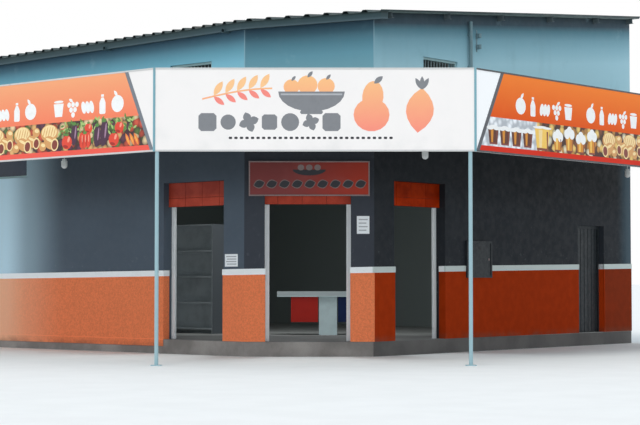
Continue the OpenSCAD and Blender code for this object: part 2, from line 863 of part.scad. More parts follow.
// A trough with a lip along its lower edge, and two spouts.
module eave_gutter() {
    color("slategray") difference() {
        union() {
            eave_band(overhang, overhang - gutter_w, 0, -seat, gutter_h - seat);
            eave_band(overhang + gutter_lip, overhang - gutter_t, 0, gutter_lip_h - gutter_h, gutter_lip_h);
            spout_places() cylinder(r = spout_r, h = spout_len);
        }
        eave_band(overhang - gutter_t, overhang - gutter_w + gutter_t, gutter_t, 1,
            gutter_h - gutter_t + 1);
        spout_places() translate([0, 0, -1]) cylinder(r = spout_r - gutter_t, h = spout_len - gutter_t + 1);
    }
}

spout_len = spout_reach + gutter_w * 0.7;

// Lays children along the spouts, which start in front of the gutter and end under its bottom.
module spout_places() {
    for (i = [0, 1]) {
        place = on_front(spout_at + i * spout_pitch, -overhang - spout_reach);
        translate([place.x, place.y, roof_level(place.x, eave_y) - gutter_h + spout_r / 4])
            rotate([-90, 0, 0]) children();
    }
}

// Canopy: beams from the walls to the fascia's frame, ribbed sheets on them, and two posts

fascia_in = fascia_t + fascia_tube;
deck_front = canopy_front - fascia_in;
deck_corner = canopy_corner - fascia_in;
deck_side = canopy_side - fascia_in;
hip_reach_l = max(deck_front, deck_corner);
hip_reach_r = max(deck_side, deck_corner);

front_beams = concat(
    [for (s = front_beam_at; s < front_len - canopy_beam_pitch / 2; s = s + canopy_beam_pitch) s],
    [front_len - canopy_beam_w / 2]);
side_beams = concat(
    [for (s = side_beam_at; s < side_len - canopy_beam_pitch / 2; s = s + canopy_beam_pitch) s],
    [side_len - canopy_beam_w / 2]);

// Level of a beam's top under the canopy sheets, at a distance from the wall.
function deck_level(reach) = canopy_deck_z - seat - reach * canopy_fall / 1000;

// The same over a corner, low enough for the sheets that fall away on both sides of the beam.
function hip_level(reach, mitre) = deck_level(reach) - canopy_beam_w / 2 * mitre * canopy_fall / 1000;

// A beam between two points of the plan, with its top from level z_a to level z_b.
module sloped_beam(a, b, z_a, z_b) {
    run = b - a;
    translate([a.x, a.y, 0]) rotate([0, 0, atan2(run.y, run.x)]) rotate([90, 0, 0])
        translate([0, 0, -canopy_beam_w / 2]) linear_extrude(canopy_beam_w)
            polygon([[0, z_a - canopy_beam_h], [norm(run), z_b - canopy_beam_h], [norm(run), z_b], [0, z_a]]);
}

// A beam over a corner of the building, cut short by what its square end would run into.
module corner_beam(a, b, reach, least_reach, mitre) {
    run = b - a;
    slant = sqrt(norm(run) * norm(run) - least_reach * least_reach) / least_reach;
    share = 1 - (canopy_beam_w / 2 * slant + seat) / norm(run);
    sloped_beam(a, a + run * share, hip_level(0, mitre), hip_level(reach * share, mitre));
}

module canopy_beams() {
    color("gray") {
        for (s = front_beams)
            sloped_beam(on_front(s, 0), on_front(s, -deck_front), deck_level(0), deck_level(deck_front));
        for (s = side_beams)
            sloped_beam(on_side(s, 0), on_side(s, -deck_side), deck_level(0), deck_level(deck_side));
        corner_beam(corner_l, meet_l(deck_front, deck_corner), hip_reach_l,
            min(deck_front, deck_corner), mitre_l);
        corner_beam(corner_r, meet_r(deck_side, deck_corner), hip_reach_r,
            min(deck_side, deck_corner), mitre_r);
    }
}

// Ribbed sheets that fall away from a wall, cut to a part of the plan.
module deck_part(wall, s, width, points) {
    intersection() {
        at_wall(wall, s, 0, canopy_deck_z) rotate([canopy_angle, 0, 0]) rotate([90, 0, 0])
            translate([0, 0, -far / 2]) linear_extrude(far) ribbed_profile(width);
        prism(points, 0, far);
    }
}

module canopy_sheets_front() {
    color("darkgray") deck_part("front", front_len, front_len + canopy_front,
        [on_front(front_len, 0), corner_l, meet_l(deck_front, deck_corner),
            on_front(front_len, -deck_front)]);
}

module canopy_sheets_corner() {
    color("darkgray") deck_part("corner", -canopy_corner, cut_len + 2 * canopy_corner,
        [corner_l, corner_r, meet_r(deck_side, deck_corner), meet_l(deck_front, deck_corner)]);
}

module canopy_sheets_side() {
    color("darkgray") deck_part("side", -canopy_side, side_len + canopy_side,
        [corner_r, on_side(side_len, 0), on_side(side_len, -deck_side),
            meet_r(deck_side, deck_corner)]);
}

// Posts under the two ends of the corner panel.
post_reach = fascia_t + fascia_tube / 2;
post_line_l = meet_l(canopy_front - post_reach, canopy_corner - post_reach);
post_line_r = meet_r(canopy_side - post_reach, canopy_corner - post_reach);

module canopy_posts() {
    places = [post_line_l + cut_dir * post_inset_l, post_line_r - cut_dir * post_inset_r];
    color("lightsteelblue") for (p = places)
        translate([p.x, p.y, 0]) {
            cylinder(r = post_r, h = fascia_bottom);
            rotate([0, 0, cut_angle]) translate([-base_plate / 2, -base_plate / 2, 0])
                cube([base_plate, base_plate, base_plate_t]);
        }
}

// Three lamps, under the second front beam, the right corner beam and the third side beam.
module canopy_lamps() {
    reach_front = deck_front / 2;
    reach_side = deck_side / 2;
    corner_share = 0.54;
    corner_run = meet_r(deck_side, deck_corner) - corner_r;
    color("white") {
        lamp(on_front(front_beams[1], -reach_front), deck_level(reach_front));
        lamp(corner_r + corner_run * corner_share, hip_level(hip_reach_r * corner_share, mitre_r));
        lamp(on_side(side_beams[2], -reach_side), deck_level(reach_side));
    }
}

// A jar with a round bottom and a cap, on a stem under a beam whose top is at a level.
module lamp(place, level) {
    rose_r = canopy_beam_w / 2;
    rose_h = 12;
    cap_h = 30;
    top = level - canopy_beam_h - rose_r * canopy_fall / 1000;
    jar_foot = lamp_z - lamp_h / 2 + lamp_r;
    jar_top = lamp_z + lamp_h / 2;
    translate([place.x, place.y, 0]) {
        translate([0, 0, jar_foot]) sphere(r = lamp_r);
        translate([0, 0, jar_foot]) cylinder(r = lamp_r, h = jar_top - jar_foot);
        translate([0, 0, jar_top]) cylinder(r = lamp_r * 0.7, h = cap_h);
        translate([0, 0, jar_top]) cylinder(r = lamp_stem_r, h = top - jar_top);
        translate([0, 0, top - rose_h]) cylinder(r = rose_r, h = rose_h);
    }
}

// Fascia: a tube frame, a panel and trim on each of its three faces

// A part of one face of the fascia, between two depths behind its outer surface.
function front_band(d0, d1) = [
    on_front(front_len, -canopy_front + d0), meet_l(canopy_front - d0, canopy_corner - d0),
    meet_l(canopy_front - d1, canopy_corner - d1), on_front(front_len, -canopy_front + d1)
];
function corner_band(d0, d1) = [
    meet_l(canopy_front - d0, canopy_corner - d0), meet_r(canopy_side - d0, canopy_corner - d0),
    meet_r(canopy_side - d1, canopy_corner - d1), meet_l(canopy_front - d1, canopy_corner - d1)
];
function side_band(d0, d1) = [
    meet_r(canopy_side - d0, canopy_corner - d0), on_side(side_len, -canopy_side + d0),
    on_side(side_len, -canopy_side + d1), meet_r(canopy_side - d1, canopy_corner - d1)
];

upright_inset = 2;
upright = fascia_tube - 2 * upright_inset;
beam_rail_z = deck_level(deck_front) - (canopy_beam_h + fascia_tube) / 2;

// Rails along the top and bottom of a band and where the canopy's beams end, with uprights between.
module fascia_frame(band) {
    inner_a = band[3];
    inner_b = band[2];
    run = inner_b - inner_a;
    bays = ceil(norm(run) / fascia_upright_pitch);
    step = (norm(run) - fascia_tube) / bays;
    for (z = [fascia_bottom, beam_rail_z, fascia_top - fascia_tube]) prism(band, z, z + fascia_tube);
    translate([inner_a.x, inner_a.y, fascia_bottom + fascia_tube / 2])
        rotate([0, 0, atan2(run.y, run.x)]) for (i = [0:bays])
            translate([i * step + upright_inset, upright_inset - fascia_tube, 0])
                cube([upright, upright, fascia_h - fascia_tube]);
}

module fascia_frame_front() {
    color("gray") fascia_frame(front_band(fascia_t, fascia_in));
}

module fascia_frame_corner() {
    color("gray") fascia_frame(corner_band(fascia_t, fascia_in));
}

module fascia_frame_side() {
    color("gray") fascia_frame(side_band(fascia_t, fascia_in));
}

module fascia_front() {
    color("darkorange") prism(front_band(0, fascia_t), fascia_bottom, fascia_top);
}

module fascia_corner() {
    color("white") prism(corner_band(0, fascia_t), fascia_bottom, fascia_top);
}

module fascia_side() {
    color("darkorange") prism(side_band(0, fascia_t), fascia_bottom, fascia_top);
}

module fascia_trim() {
    color("whitesmoke") {
        for (z = [fascia_bottom, fascia_top - trim_w]) {
            prism(front_band(-trim_t, 0), z, z + trim_w);
            prism(corner_band(-trim_t, 0), z, z + trim_w);
            prism(side_band(-trim_t, 0), z, z + trim_w);
        }
        for (p = [meet_l(canopy_front, canopy_corner), meet_r(canopy_side, canopy_corner)])
            difference() {
                translate([p.x, p.y, fascia_bottom]) cylinder(r = seam_w / 2, h = fascia_h);
                prism(outline(canopy_front, canopy_corner, canopy_side, 0, 0), 0, far);
            }
    }
}

// Fittings that show through the openings

module checkout_counter() {
    top_t = 105;
    pedestal_w = 340;
    pedestal_at = cut_len / 2 + 160;
    start = cut_len / 2 - counter_w * 0.43;
    color("whitesmoke") {
        wall_block("corner", start, start + counter_w, counter_at,
            counter_at + counter_d, floor_h + counter_h - top_t, floor_h + counter_h);
        wall_block("corner", pedestal_at, pedestal_at + pedestal_w, counter_at + 40,
            counter_at + counter_d - 40, floor_h, floor_h + counter_h - top_t);
    }
}

module shelf_unit() {
    board = 25;
    left = -shelf_w * 0.6;
    color("silver") {
        for (x = [left, left + shelf_w - board])
            translate([x, -half_y + shelf_at, floor_h]) cube([board, shelf_d, shelf_h]);
        for (i = [0:shelf_count])
            translate([left, -half_y + shelf_at, floor_h + 80 + i * (shelf_h - 80 - board) / shelf_count])
                cube([shelf_w, shelf_d, board]);
        translate([left, -half_y + shelf_at + shelf_d / 2, floor_h]) cube([shelf_w, board / 2, shelf_h]);
    }
}

floor_slab();
front_wall_left();
front_wall_pier();
front_wall_upper();
corner_pier_left();
corner_pier_right();
corner_wall_upper();
side_wall_front_pier();
side_wall_middle();
side_wall_rear();
side_wall_upper();
side_door_head();
back_wall();
left_party_wall();
dado_front();
dado_side();
white_band();
tiled_transoms();
roller_shutters();
sign_frame_bars();
sign_panel();
side_door_frame();
side_door();
meter_box();
service_mast();
window_frames();
roof_beams();
roof_purlins();
roof_sheets();
eave_gutter();
canopy_beams();
canopy_sheets_front();
canopy_sheets_corner();
canopy_sheets_side();
canopy_posts();
canopy_lamps();
fascia_frame_front();
fascia_frame_corner();
fascia_frame_side();
fascia_front();
fascia_corner();
fascia_side();
fascia_trim();
checkout_counter();
shelf_unit();
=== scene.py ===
import math
import random

import bmesh
import bpy
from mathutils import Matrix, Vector


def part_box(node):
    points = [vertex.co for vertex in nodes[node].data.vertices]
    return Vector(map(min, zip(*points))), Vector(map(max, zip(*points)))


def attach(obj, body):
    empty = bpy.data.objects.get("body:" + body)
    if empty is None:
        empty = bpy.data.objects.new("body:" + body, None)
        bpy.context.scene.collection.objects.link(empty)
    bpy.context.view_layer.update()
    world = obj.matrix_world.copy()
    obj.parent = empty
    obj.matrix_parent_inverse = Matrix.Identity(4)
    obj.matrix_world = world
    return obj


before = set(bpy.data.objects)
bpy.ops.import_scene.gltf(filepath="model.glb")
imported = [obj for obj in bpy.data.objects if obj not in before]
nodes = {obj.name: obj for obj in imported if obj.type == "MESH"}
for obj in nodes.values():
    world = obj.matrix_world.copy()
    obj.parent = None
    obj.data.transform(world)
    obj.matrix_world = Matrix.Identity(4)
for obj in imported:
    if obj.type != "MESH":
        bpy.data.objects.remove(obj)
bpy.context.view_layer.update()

# Places on the building, from the frame, in metres
HALF_X, HALF_Y, FLOOR_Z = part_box("floor_slab")[1]
corner_l = Vector((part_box("front_wall_pier")[1].x, -HALF_Y))
corner_r = Vector((HALF_X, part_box("side_wall_front_pier")[0].y))
cut_dir = (corner_r - corner_l).normalized()
cut_out = Vector((cut_dir.y, -cut_dir.x))
CUT_LEN = (corner_r - corner_l).length
DECK_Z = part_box("canopy_sheets_front")[1].z
COUNTER_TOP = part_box("checkout_counter")[1].z
SHELF_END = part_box("shelf_unit")[1].x
FASCIA_LOW, FASCIA_HIGH = (corner.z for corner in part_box("fascia_corner"))
TILES_LOW, TILES_HIGH = (corner.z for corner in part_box("tiled_transoms"))
SIGN_LOW, SIGN_HIGH = (corner.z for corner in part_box("sign_panel"))
CANOPY_FRONT = -HALF_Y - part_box("fascia_front")[0].y
CANOPY_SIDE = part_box("fascia_side")[1].x - HALF_X

# Places that the solids don't give directly, in metres
CANOPY_CORNER = 3.11
WALL_T = 0.2
OPENING_W = 1.45
OPENINGS = {"front": 0.475, "corner": 0.338, "side": 0.54}
TRANSOM_RECESS = 0.13
TILE_W = 0.41
LOW_ROW_SHARE = 0.36
TILE_SPLIT = (1 - LOW_ROW_SHARE) * TILES_LOW + LOW_ROW_SHARE * TILES_HIGH
VENT_W = 1
VENT_H = 0.6
VENTS = {"front": (0.77, 4.415), "side": (1.37, 4.565)}
FRAME_BAR = 0.04
HIGH_WINDOW = (5.61, 7.11, 3.21, 3.91)
DADO_FOOT = 0.13
SIGN_OUTER_W = 2.025
SIGN_BAR = 0.022
SIGN_FACE = -0.032
OVERHANG = 0.14
GUTTER_H = 0.125
VERGE = 0.18
EAVE_Z = 5.54
ROOF_RISE_X = 0.015
ROOF_RISE_Y = 0.099
ROOF_AT_MIDDLE = EAVE_Z + (HALF_Y + OVERHANG) * ROOF_RISE_Y
RIB_PITCH = 0.245
RIB_TOP = 0.045
PURLIN_EDGE = 0.1
PURLIN_PITCH = 1.65
PURLIN_ROWS = [-HALF_Y + PURLIN_EDGE + PURLIN_PITCH * i for i in range(6)] + [HALF_Y - PURLIN_EDGE]


def on_wall(wall, s, d, z):
    """A point of a wall: s along it from the chamfer, d into the building, z up."""
    if wall == "front":
        return Vector((corner_l.x - s, corner_l.y + d, z))
    if wall == "side":
        return Vector((corner_r.x - d, corner_r.y + s, z))
    flat = corner_l + cut_dir * s - cut_out * d
    return Vector((flat.x, flat.y, z))


def meet(reach, corner, left):
    """Where the corner panel's line meets a side's line."""
    if left:
        return corner_l + cut_out * corner + cut_dir * ((cut_dir.x * corner - reach) / cut_dir.y)
    return corner_r + cut_out * corner + cut_dir * ((reach - cut_dir.y * corner) / cut_dir.x)


FASCIA_L = meet(CANOPY_FRONT, CANOPY_CORNER, True)
FASCIA_R = meet(CANOPY_SIDE, CANOPY_CORNER, False)

# Materials, kept by name; a colour of three numbers, 0 to 255, is given as it looks on a screen

LOOKS = {}


def channel(value):
    value = value / 255
    return value / 12.92 if value <= 0.04045 else ((value + 0.055) / 1.055) ** 2.4


def tint(colour, share=1):
    """A colour as linear light, made lighter or darker."""
    if len(colour) == 3:
        colour = [channel(value) for value in colour]
    return tuple(value * share for value in colour[:3]) + (1,)


class Tree:
    """A node tree of a material or of the world."""

    def __init__(self, owner):
        owner.use_nodes = True
        self.tree = owner.node_tree

    def put(self, value, target):
        """Sets an input to a number or colour, or links it to an output."""
        if isinstance(value, bpy.types.NodeSocket):
            self.tree.links.new(value, target)
        else:
            target.default_value = tint(value) if target.type == "RGBA" else value

    def node(self, kind, inputs=None, **settings):
        """A new node with its settings and with what goes into its inputs."""
        made = self.tree.nodes.new(kind)
        for key, value in settings.items():
            setattr(made, key, value)
        for key, value in (inputs or {}).items():
            self.put(value, made.inputs[key])
        return made

    def math(self, operation, a, b):
        return self.node("ShaderNodeMath", {0: a, 1: b}, operation=operation).outputs[0]


class Shader(Tree):
    """A material's node tree, with short calls for what the materials share."""

    def __init__(self, name, roughness=0.6, metallic=0, specular=0.5):
        LOOKS[name] = bpy.data.materials.new(name)
        super().__init__(LOOKS[name])
        self.bsdf = self.tree.nodes["Principled BSDF"]
        self.place = self.node("ShaderNodeTexCoord").outputs["Object"]
        self.surface("Roughness", roughness)
        self.surface("Metallic", metallic)
        self.surface("Specular IOR Level", specular)

    def surface(self, key, value):
        self.put(value, self.bsdf.inputs[key])

    def colour(self, value):
        self.surface("Base Color", value)

    def axis(self, letter, place=None):
        return self.node("ShaderNodeSeparateXYZ", {0: place or self.place}).outputs[letter]

    def along(self, x, y, z, start):
        """The sum of a start value and the place's coordinates, each times its own factor."""
        made = self.node("ShaderNodeVectorMath", {0: self.place, 1: (x, y, z)}, operation="DOT_PRODUCT")
        return self.math("ADD", made.outputs["Value"], start)

    def near(self, spot):
        """Distance in plan from a spot."""
        flat = self.node("ShaderNodeVectorMath", {0: self.place, 1: (1, 1, 0)}, operation="MULTIPLY")
        inputs = {0: flat.outputs[0], 1: (spot.x, spot.y, 0)}
        return self.node("ShaderNodeVectorMath", inputs, operation="DISTANCE").outputs["Value"]

    def scaled(self, x, y, z):
        return self.node("ShaderNodeMapping", {"Vector": self.place, "Scale": (x, y, z)}).outputs["Vector"]

    def noise(self, scale, detail=4, roughness=0.55, place=None):
        inputs = {"Vector": place or self.place, "Scale": scale, "Detail": detail, "Roughness": roughness}
        return self.node("ShaderNodeTexNoise", inputs).outputs["Fac"]

    def span(self, value, low, high, to_low=0, to_high=1, smooth=True):
        """Runs from one value to another while the input runs from low to high."""
        inputs = {"Value": value, "From Min": low, "From Max": high, "To Min": to_low, "To Max": to_high}
        kind = "SMOOTHSTEP" if smooth else "LINEAR"
        return self.node("ShaderNodeMapRange", inputs, interpolation_type=kind).outputs["Result"]

    def step(self, letter, low, high, to_low=0, to_high=1, smooth=True):
        """Runs from one value to another between two places on an axis."""
        return self.span(self.axis(letter), low, high, to_low, to_high, smooth)

    def mix(self, factor, a, b, blend="MIX"):
        inputs = {"Factor": factor, "A": a, "B": b}
        return self.node("ShaderNodeMix", inputs, data_type="RGBA", blend_type=blend).outputs["Result"]

    def patchy(self, body, other, noise, low, high, share=1):
        """A colour with patches of another one where a noise is high."""
        return self.mix(self.span(self.noise(*noise), low, high, 0, share), body, other)

    def ramp(self, factor, stops, interpolation="LINEAR"):
        made = self.node("ShaderNodeValToRGB", {"Fac": factor})
        ramp = made.color_ramp
        ramp.interpolation = interpolation
        while len(ramp.elements) < len(stops):
            ramp.elements.new(1)
        for element, (place, colour) in zip(ramp.elements, stops):
            element.position = place
            element.color = tint(colour)
        return made.outputs["Color"]

    def uneven(self, scale, detail, low, high):
        """Roughness that varies between two values."""
        self.surface("Roughness", self.span(self.noise(scale, detail), 0.3, 0.7, low, high))

    def bump(self, height, strength, distance):
        made = self.node("ShaderNodeBump", {"Height": height, "Strength": strength, "Distance": distance})
        self.surface("Normal", made.outputs["Normal"])

    def plaster(self, strength, distance, coarse=3, fine=60, share=0.35):
        """The relief of plaster: a coarse noise and a share of a fine one."""
        grain = self.math("MULTIPLY", self.noise(fine, 3), share)
        self.bump(self.math("ADD", self.noise(coarse, 6), grain), strength, distance)


def inside_hall(m):
    """1 on the walls' inner faces, 0 on their outer faces and in the openings."""
    deep = WALL_T - 0.005
    faces = [
        (0, 1, HALF_Y), (0, -1, HALF_Y), (1, 0, HALF_X), (-1, 0, HALF_X),
        (-cut_out.x, -cut_out.y, corner_l.dot(cut_out)),
    ]
    depths = [m.along(x, y, 0, start - deep) for x, y, start in faces]
    least = depths[0]
    for depth in depths[1:]:
        least = m.math("MINIMUM", least, depth)
    return m.span(least, 0, 0.004)


def lit_door_reveal(m):
    """1 on the sides of the opening round the side door, where painted light goes."""
    behind = m.span(m.along(-1, 0, 0, HALF_X), 0.002, 0.006)
    return m.math("MULTIPLY", behind, m.step("Y", 2, 2.5))


def under_roof(m):
    """Distance under the roof's sheets."""
    return m.along(ROOF_RISE_X, ROOF_RISE_Y, -1, ROOF_AT_MIDDLE)


def paint_end_shading(m, body, end_shading, strength=1):
    """Painted light and shade that grow towards a wall's end: an axis, a colour, and steps from none to
    full.
    """
    letter, light, steps = end_shading
    amount = 0
    for none_at, full_at, share in steps:
        full = share * strength
        if none_at < full_at:
            step = m.step(letter, none_at, full_at, 0, full)
        else:
            step = m.step(letter, full_at, none_at, full, 0)
        amount = m.math("ADD", step, amount)
    return m.mix(amount, body, light)


# Colours of the upper walls by the distance under the roof, in metres: dark at the top as painted shade
# under the eave, with the left wall's copy lighter and the corner's darker as painted light and shade
EAVES = [
    (0, (66, 88, 106)), (0.12, (72, 98, 118)), (0.28, (83, 123, 140)),
    (0.45, (98, 150, 168)), (0.65, (121, 178, 197)), (0.9, (138, 192, 208)),
]
EAVES_LEFT = [(place, tint(colour, 1.14)) for place, colour in EAVES]
EAVES_CORNER = [(place, tint(colour, 0.72)) for place, colour in EAVES]
# The side wall's copy, with a deeper painted shadow under the eave
EAVES_RIGHT = [
    (0, (52, 64, 71)), (0.17, (63, 80, 91)), (0.28, (88, 128, 141)),
    (0.45, (122, 163, 177)), (0.65, (141, 183, 196)), (0.9, (162, 201, 213)),
]
INNER_PAINT = (150, 158, 156)
# Worn paint, also the colour of the painted highlight along the corner edges
WORN_AND_HIGHLIGHT_PAINT = (168, 196, 206)


def outer_paint_and_shade(m, shade, eaves, end_shading=None):
    """Wall paint with painted shade: dark under the canopy as painted shade and darker towards it, pale
    above it, shaded again under the eave, with painted light on the side door's reveal and towards the
    wall's end where given, and a painted highlight along the worn corner edges.
    """
    under = m.patchy(shade, tint(shade, 1.1), (0.9, 4), 0.3, 0.75)
    # Painted shade, deeper towards the canopy
    under = m.mix(m.step("Z", 2.3, 3.3, 0, 0.44), under, (0, 0, 0))
    # Painted light on the side door's reveal
    under = m.mix(lit_door_reveal(m), under, tint(shade, 2.2))
    # Painted light towards the wall's end
    if end_shading:
        under = paint_end_shading(m, under, end_shading)
    scuffs = m.span(m.noise(14, 6), 0.6, 0.72)
    scuffs = m.math("MULTIPLY", scuffs, m.step("Z", 1.4, 2.2, 0.16, 0.03))
    under = m.mix(scuffs, under, (150, 158, 162))
    # Painted shade under the eave, in the ramp's dark stops
    above = m.ramp(under_roof(m), eaves)
    streaks = m.noise(1, 4, place=m.scaled(2.4, 2.4, 0.22))
    above = m.mix(m.span(streaks, 0.5, 0.85, 0, 0.16), above, (104, 132, 142))
    above = m.patchy(above, (104, 140, 152), (1.7, 6), 0.58, 0.78, 0.22)
    above = m.patchy(above, WORN_AND_HIGHLIGHT_PAINT, (2.6, 6), 0.64, 0.8, 0.2)
    # Painted shade: the same paint is dark below the canopy's deck and pale above it
    mixed = m.mix(m.step("Z", DECK_Z - 0.12, DECK_Z - 0.04), under, above)
    # A painted highlight along the worn corner edges above the canopy
    edge = m.math("MINIMUM", m.near(corner_l), m.near(corner_r))
    worn = m.math("MULTIPLY", m.span(edge, 0.004, 0.016, 0.4, 0), m.step("Z", DECK_Z, DECK_Z + 0.3))
    return m.mix(worn, mixed, WORN_AND_HIGHLIGHT_PAINT)


def wall_shader(name, shade, eaves, end_shading=None):
    """Satin paint on plaster, with painted light and shade outside, and plain paint on the wall's inner
    face.
    """
    m = Shader(name, specular=0.15)
    m.colour(m.mix(inside_hall(m), outer_paint_and_shade(m, shade, eaves, end_shading), INNER_PAINT))
    m.uneven(9, 4, 0.55, 0.75)
    m.plaster(0.2, 0.003)


def plain_wall_shader(shade, end_shading):
    """Pale paint with rain streaks on the unseen walls; their end on the side wall is painted like it, with
    its painted shade and light.
    """
    m = Shader("wall_plain", roughness=0.6, specular=0.2)
    streaks = m.noise(1, 5, place=m.scaled(3, 3, 0.22))
    pale = m.mix(m.span(streaks, 0.35, 0.8), (136, 172, 186), (116, 150, 162))
    foot = m.math("MULTIPLY", m.step("Z", 0.25, 1.1, 0.45, 0), m.noise(2.5, 5))
    pale = m.mix(foot, pale, (96, 92, 84))
    on_side = m.step("X", HALF_X - 0.004, HALF_X - 0.001)
    painted = m.mix(on_side, pale, outer_paint_and_shade(m, shade, EAVES_RIGHT, end_shading))
    m.colour(m.mix(inside_hall(m), painted, INNER_PAINT))
    m.plaster(0.4, 0.004)


def dado_shader(name, base, coarse, foot_z, end_shading):
    """Coloured plaster: sprayed and speckled, with a painted highlight along a slight ledge, or smooth;
    with painted light on the side door's reveal, painted light and shade towards the wall's end, and dirt
    along its foot.
    """
    ledge_h = 0.12
    dirt_h = 0.14
    m = Shader(name, roughness=0.8 if coarse else 0.65, specular=0.1 if coarse else 0.015)
    if coarse:
        body = m.patchy(tint(base, 0.82), base, (30, 6, 0.7), 0.35, 0.65)
        body = m.patchy(body, tint(base, 1.3), (85, 3), 0.55, 0.7, 0.5)
        # A painted highlight along the ledge
        ledge_highlight = m.math("ABSOLUTE", m.along(0, 0, 1, -foot_z - ledge_h), 0)
        body = m.mix(m.span(ledge_highlight, 0.003, 0.009, 0.35, 0), body, tint(base, 1.5))
        m.plaster(0.7, 0.006, 32, 90, 0.5)
    else:
        body = m.patchy(tint(base, 0.86), base, (6, 5), 0.35, 0.7)
        m.plaster(0.3, 0.003)
    # Painted light on the side door's reveal
    body = m.mix(lit_door_reveal(m), body, tint(base, 1.7))
    # Painted light and shade towards the wall's end
    body = paint_end_shading(m, body, end_shading, 0.75)
    body = m.patchy(body, tint(base, 0.8), (1.1, 5), 0.5, 0.8, 0.2)
    foot = m.step("Z", foot_z, foot_z + dirt_h, 0.5, 0)
    dirt = m.math("MULTIPLY", foot, m.span(m.noise(2.2, 9, 0.75), 0.35, 0.65))
    m.colour(m.mix(dirt, body, (110, 84, 72)))


def band_shader():
    """White line paint, chipped down to the plaster, greyer on the side wall as painted shade."""
    m = Shader("band_white", roughness=0.5, specular=0.9)
    # Painted shade on the side wall
    on_side = m.step("X", HALF_X - 0.02, HALF_X + 0.002)
    body = m.mix(on_side, (250, 254, 255), (196, 208, 204))
    body = m.patchy(body, (190, 188, 184), (4, 6), 0.5, 0.8, 0.15)
    m.colour(m.patchy(body, (140, 92, 74), (26, 5), 0.68, 0.72, 0.6))
    m.bump(m.noise(40, 3), 0.3, 0.002)


def paint_shader(name, colour, worn, roughness=0.4, wear=0.25, scale=6, specular=0.5):
    """Paint or print, with blotches of a second colour and uneven gloss."""
    m = Shader(name, specular=specular)
    m.colour(m.patchy(colour, worn, (scale, 6), 0.45, 0.75, wear))
    m.uneven(scale * 3, 3, roughness * 0.8, roughness * 1.25)
    m.bump(m.noise(scale * 8, 3), 0.15, 0.002)


def metal_shader(name, colour, worn, roughness, metallic):
    """Metal with spangle and dull patches."""
    m = Shader(name, metallic=metallic)
    spangle = m.node("ShaderNodeTexVoronoi", {"Vector": m.place, "Scale": 48})
    grey = m.axis("X", spangle.outputs["Color"])
    body = m.mix(m.span(grey, 0, 1, 0, 0.35), colour, worn)
    m.colour(m.patchy(body, worn, (3.2, 5), 0.5, 0.8, 0.6))
    m.uneven(8, 4, roughness * 0.8, roughness * 1.3)
    m.bump(m.noise(40, 3), 0.1, 0.002)


def concrete_shader():
    """Cement floor, darker near the openings as painted shade, and the plinth round it, in shade along the
    side wall.
    """
    m = Shader("cement", roughness=0.85, specular=0.25)
    stains = m.span(m.noise(1.6, 7, 0.6), 0.3, 0.7)
    clean = m.mix(stains, (156, 157, 154), (186, 187, 184))
    # Painted shade near the openings
    floor_in_shade = m.mix(stains, (100, 100, 99), (118, 118, 117))
    inwards = m.along(-cut_out.x, -cut_out.y, 0, corner_l.dot(cut_out))
    floor = m.mix(m.span(inwards, 2.6, 4.2), floor_in_shade, clean)
    plinth = m.mix(stains, (126, 121, 117), (162, 156, 151))
    shaded = m.step("X", HALF_X - 0.02, HALF_X - 0.005, 0, 0.7)
    plinth = m.mix(shaded, plinth, (72, 72, 72))
    body = m.mix(m.step("Z", FLOOR_Z - 0.01, FLOOR_Z - 0.002), plinth, floor)
    m.colour(m.patchy(body, (104, 101, 96), (120, 2), 0.55, 0.75, 0.35))
    m.bump(m.math("ADD", m.noise(14, 6), m.noise(110, 2)), 0.4, 0.004)


def sheet_shader(name, colour, stained):
    """Coated roofing sheet: streaks run down the ribs, with dull dirt in the pans and a pale underside."""
    m = Shader(name, metallic=0.25)
    streaks = m.noise(1, 5, place=m.scaled(9, 0.6, 1))
    body = m.mix(m.span(streaks, 0.35, 0.75), colour, stained)
    body = m.patchy(body, (112, 102, 88), (1.3, 6), 0.55, 0.8, 0.5)
    m.colour(m.mix(m.span(under_roof(m), -0.0022, -0.0008), body, (150, 162, 158)))
    m.uneven(4, 4, 0.35, 0.65)
    m.bump(m.noise(40, 3), 0.1, 0.002)


def gutter_shader():
    """Grey-green paint, with a painted shadow under the sheets' edge and painted light towards the gutter's
    foot.
    """
    m = Shader("gutter_grey", roughness=0.5, specular=0.2)
    # Painted shadow at the top, painted light at the foot
    stops = [(0.15, (26, 44, 46)), (0.3, (44, 64, 68)), (0.7, (54, 74, 80)), (0.95, (78, 96, 103))]
    body = m.ramp(m.span(under_roof(m), 0, GUTTER_H, smooth=False), stops)
    m.colour(m.patchy(body, (66, 82, 86), (3, 6), 0.45, 0.75, 0.4))


def tile_shader():
    """Glazed red-orange tiles, cloudy, darker in the upper row, and deeper in colour on the side wall."""
    m = Shader("red_tile", roughness=0.42)
    cloud = m.span(m.noise(4, 3), 0.35, 0.65)
    left = m.mix(cloud, (178, 64, 44), (196, 76, 54))
    right = m.mix(cloud, (158, 42, 6), (184, 54, 8))
    on_side = m.step("X", HALF_X - 0.3, HALF_X - 0.2)
    m.surface("Specular IOR Level", m.span(on_side, 0, 1, 0.15, 0.02))
    body = m.mix(on_side, left, right)
    body = m.mix(m.step("Z", TILE_SPLIT - 0.04, TILE_SPLIT + 0.08), body, (0.66, 0.7, 0.8, 1), "MULTIPLY")
    m.colour(m.patchy(body, (120, 34, 20), (40, 4), 0.55, 0.8, 0.3))
    m.bump(m.noise(18, 3), 0.12, 0.002)


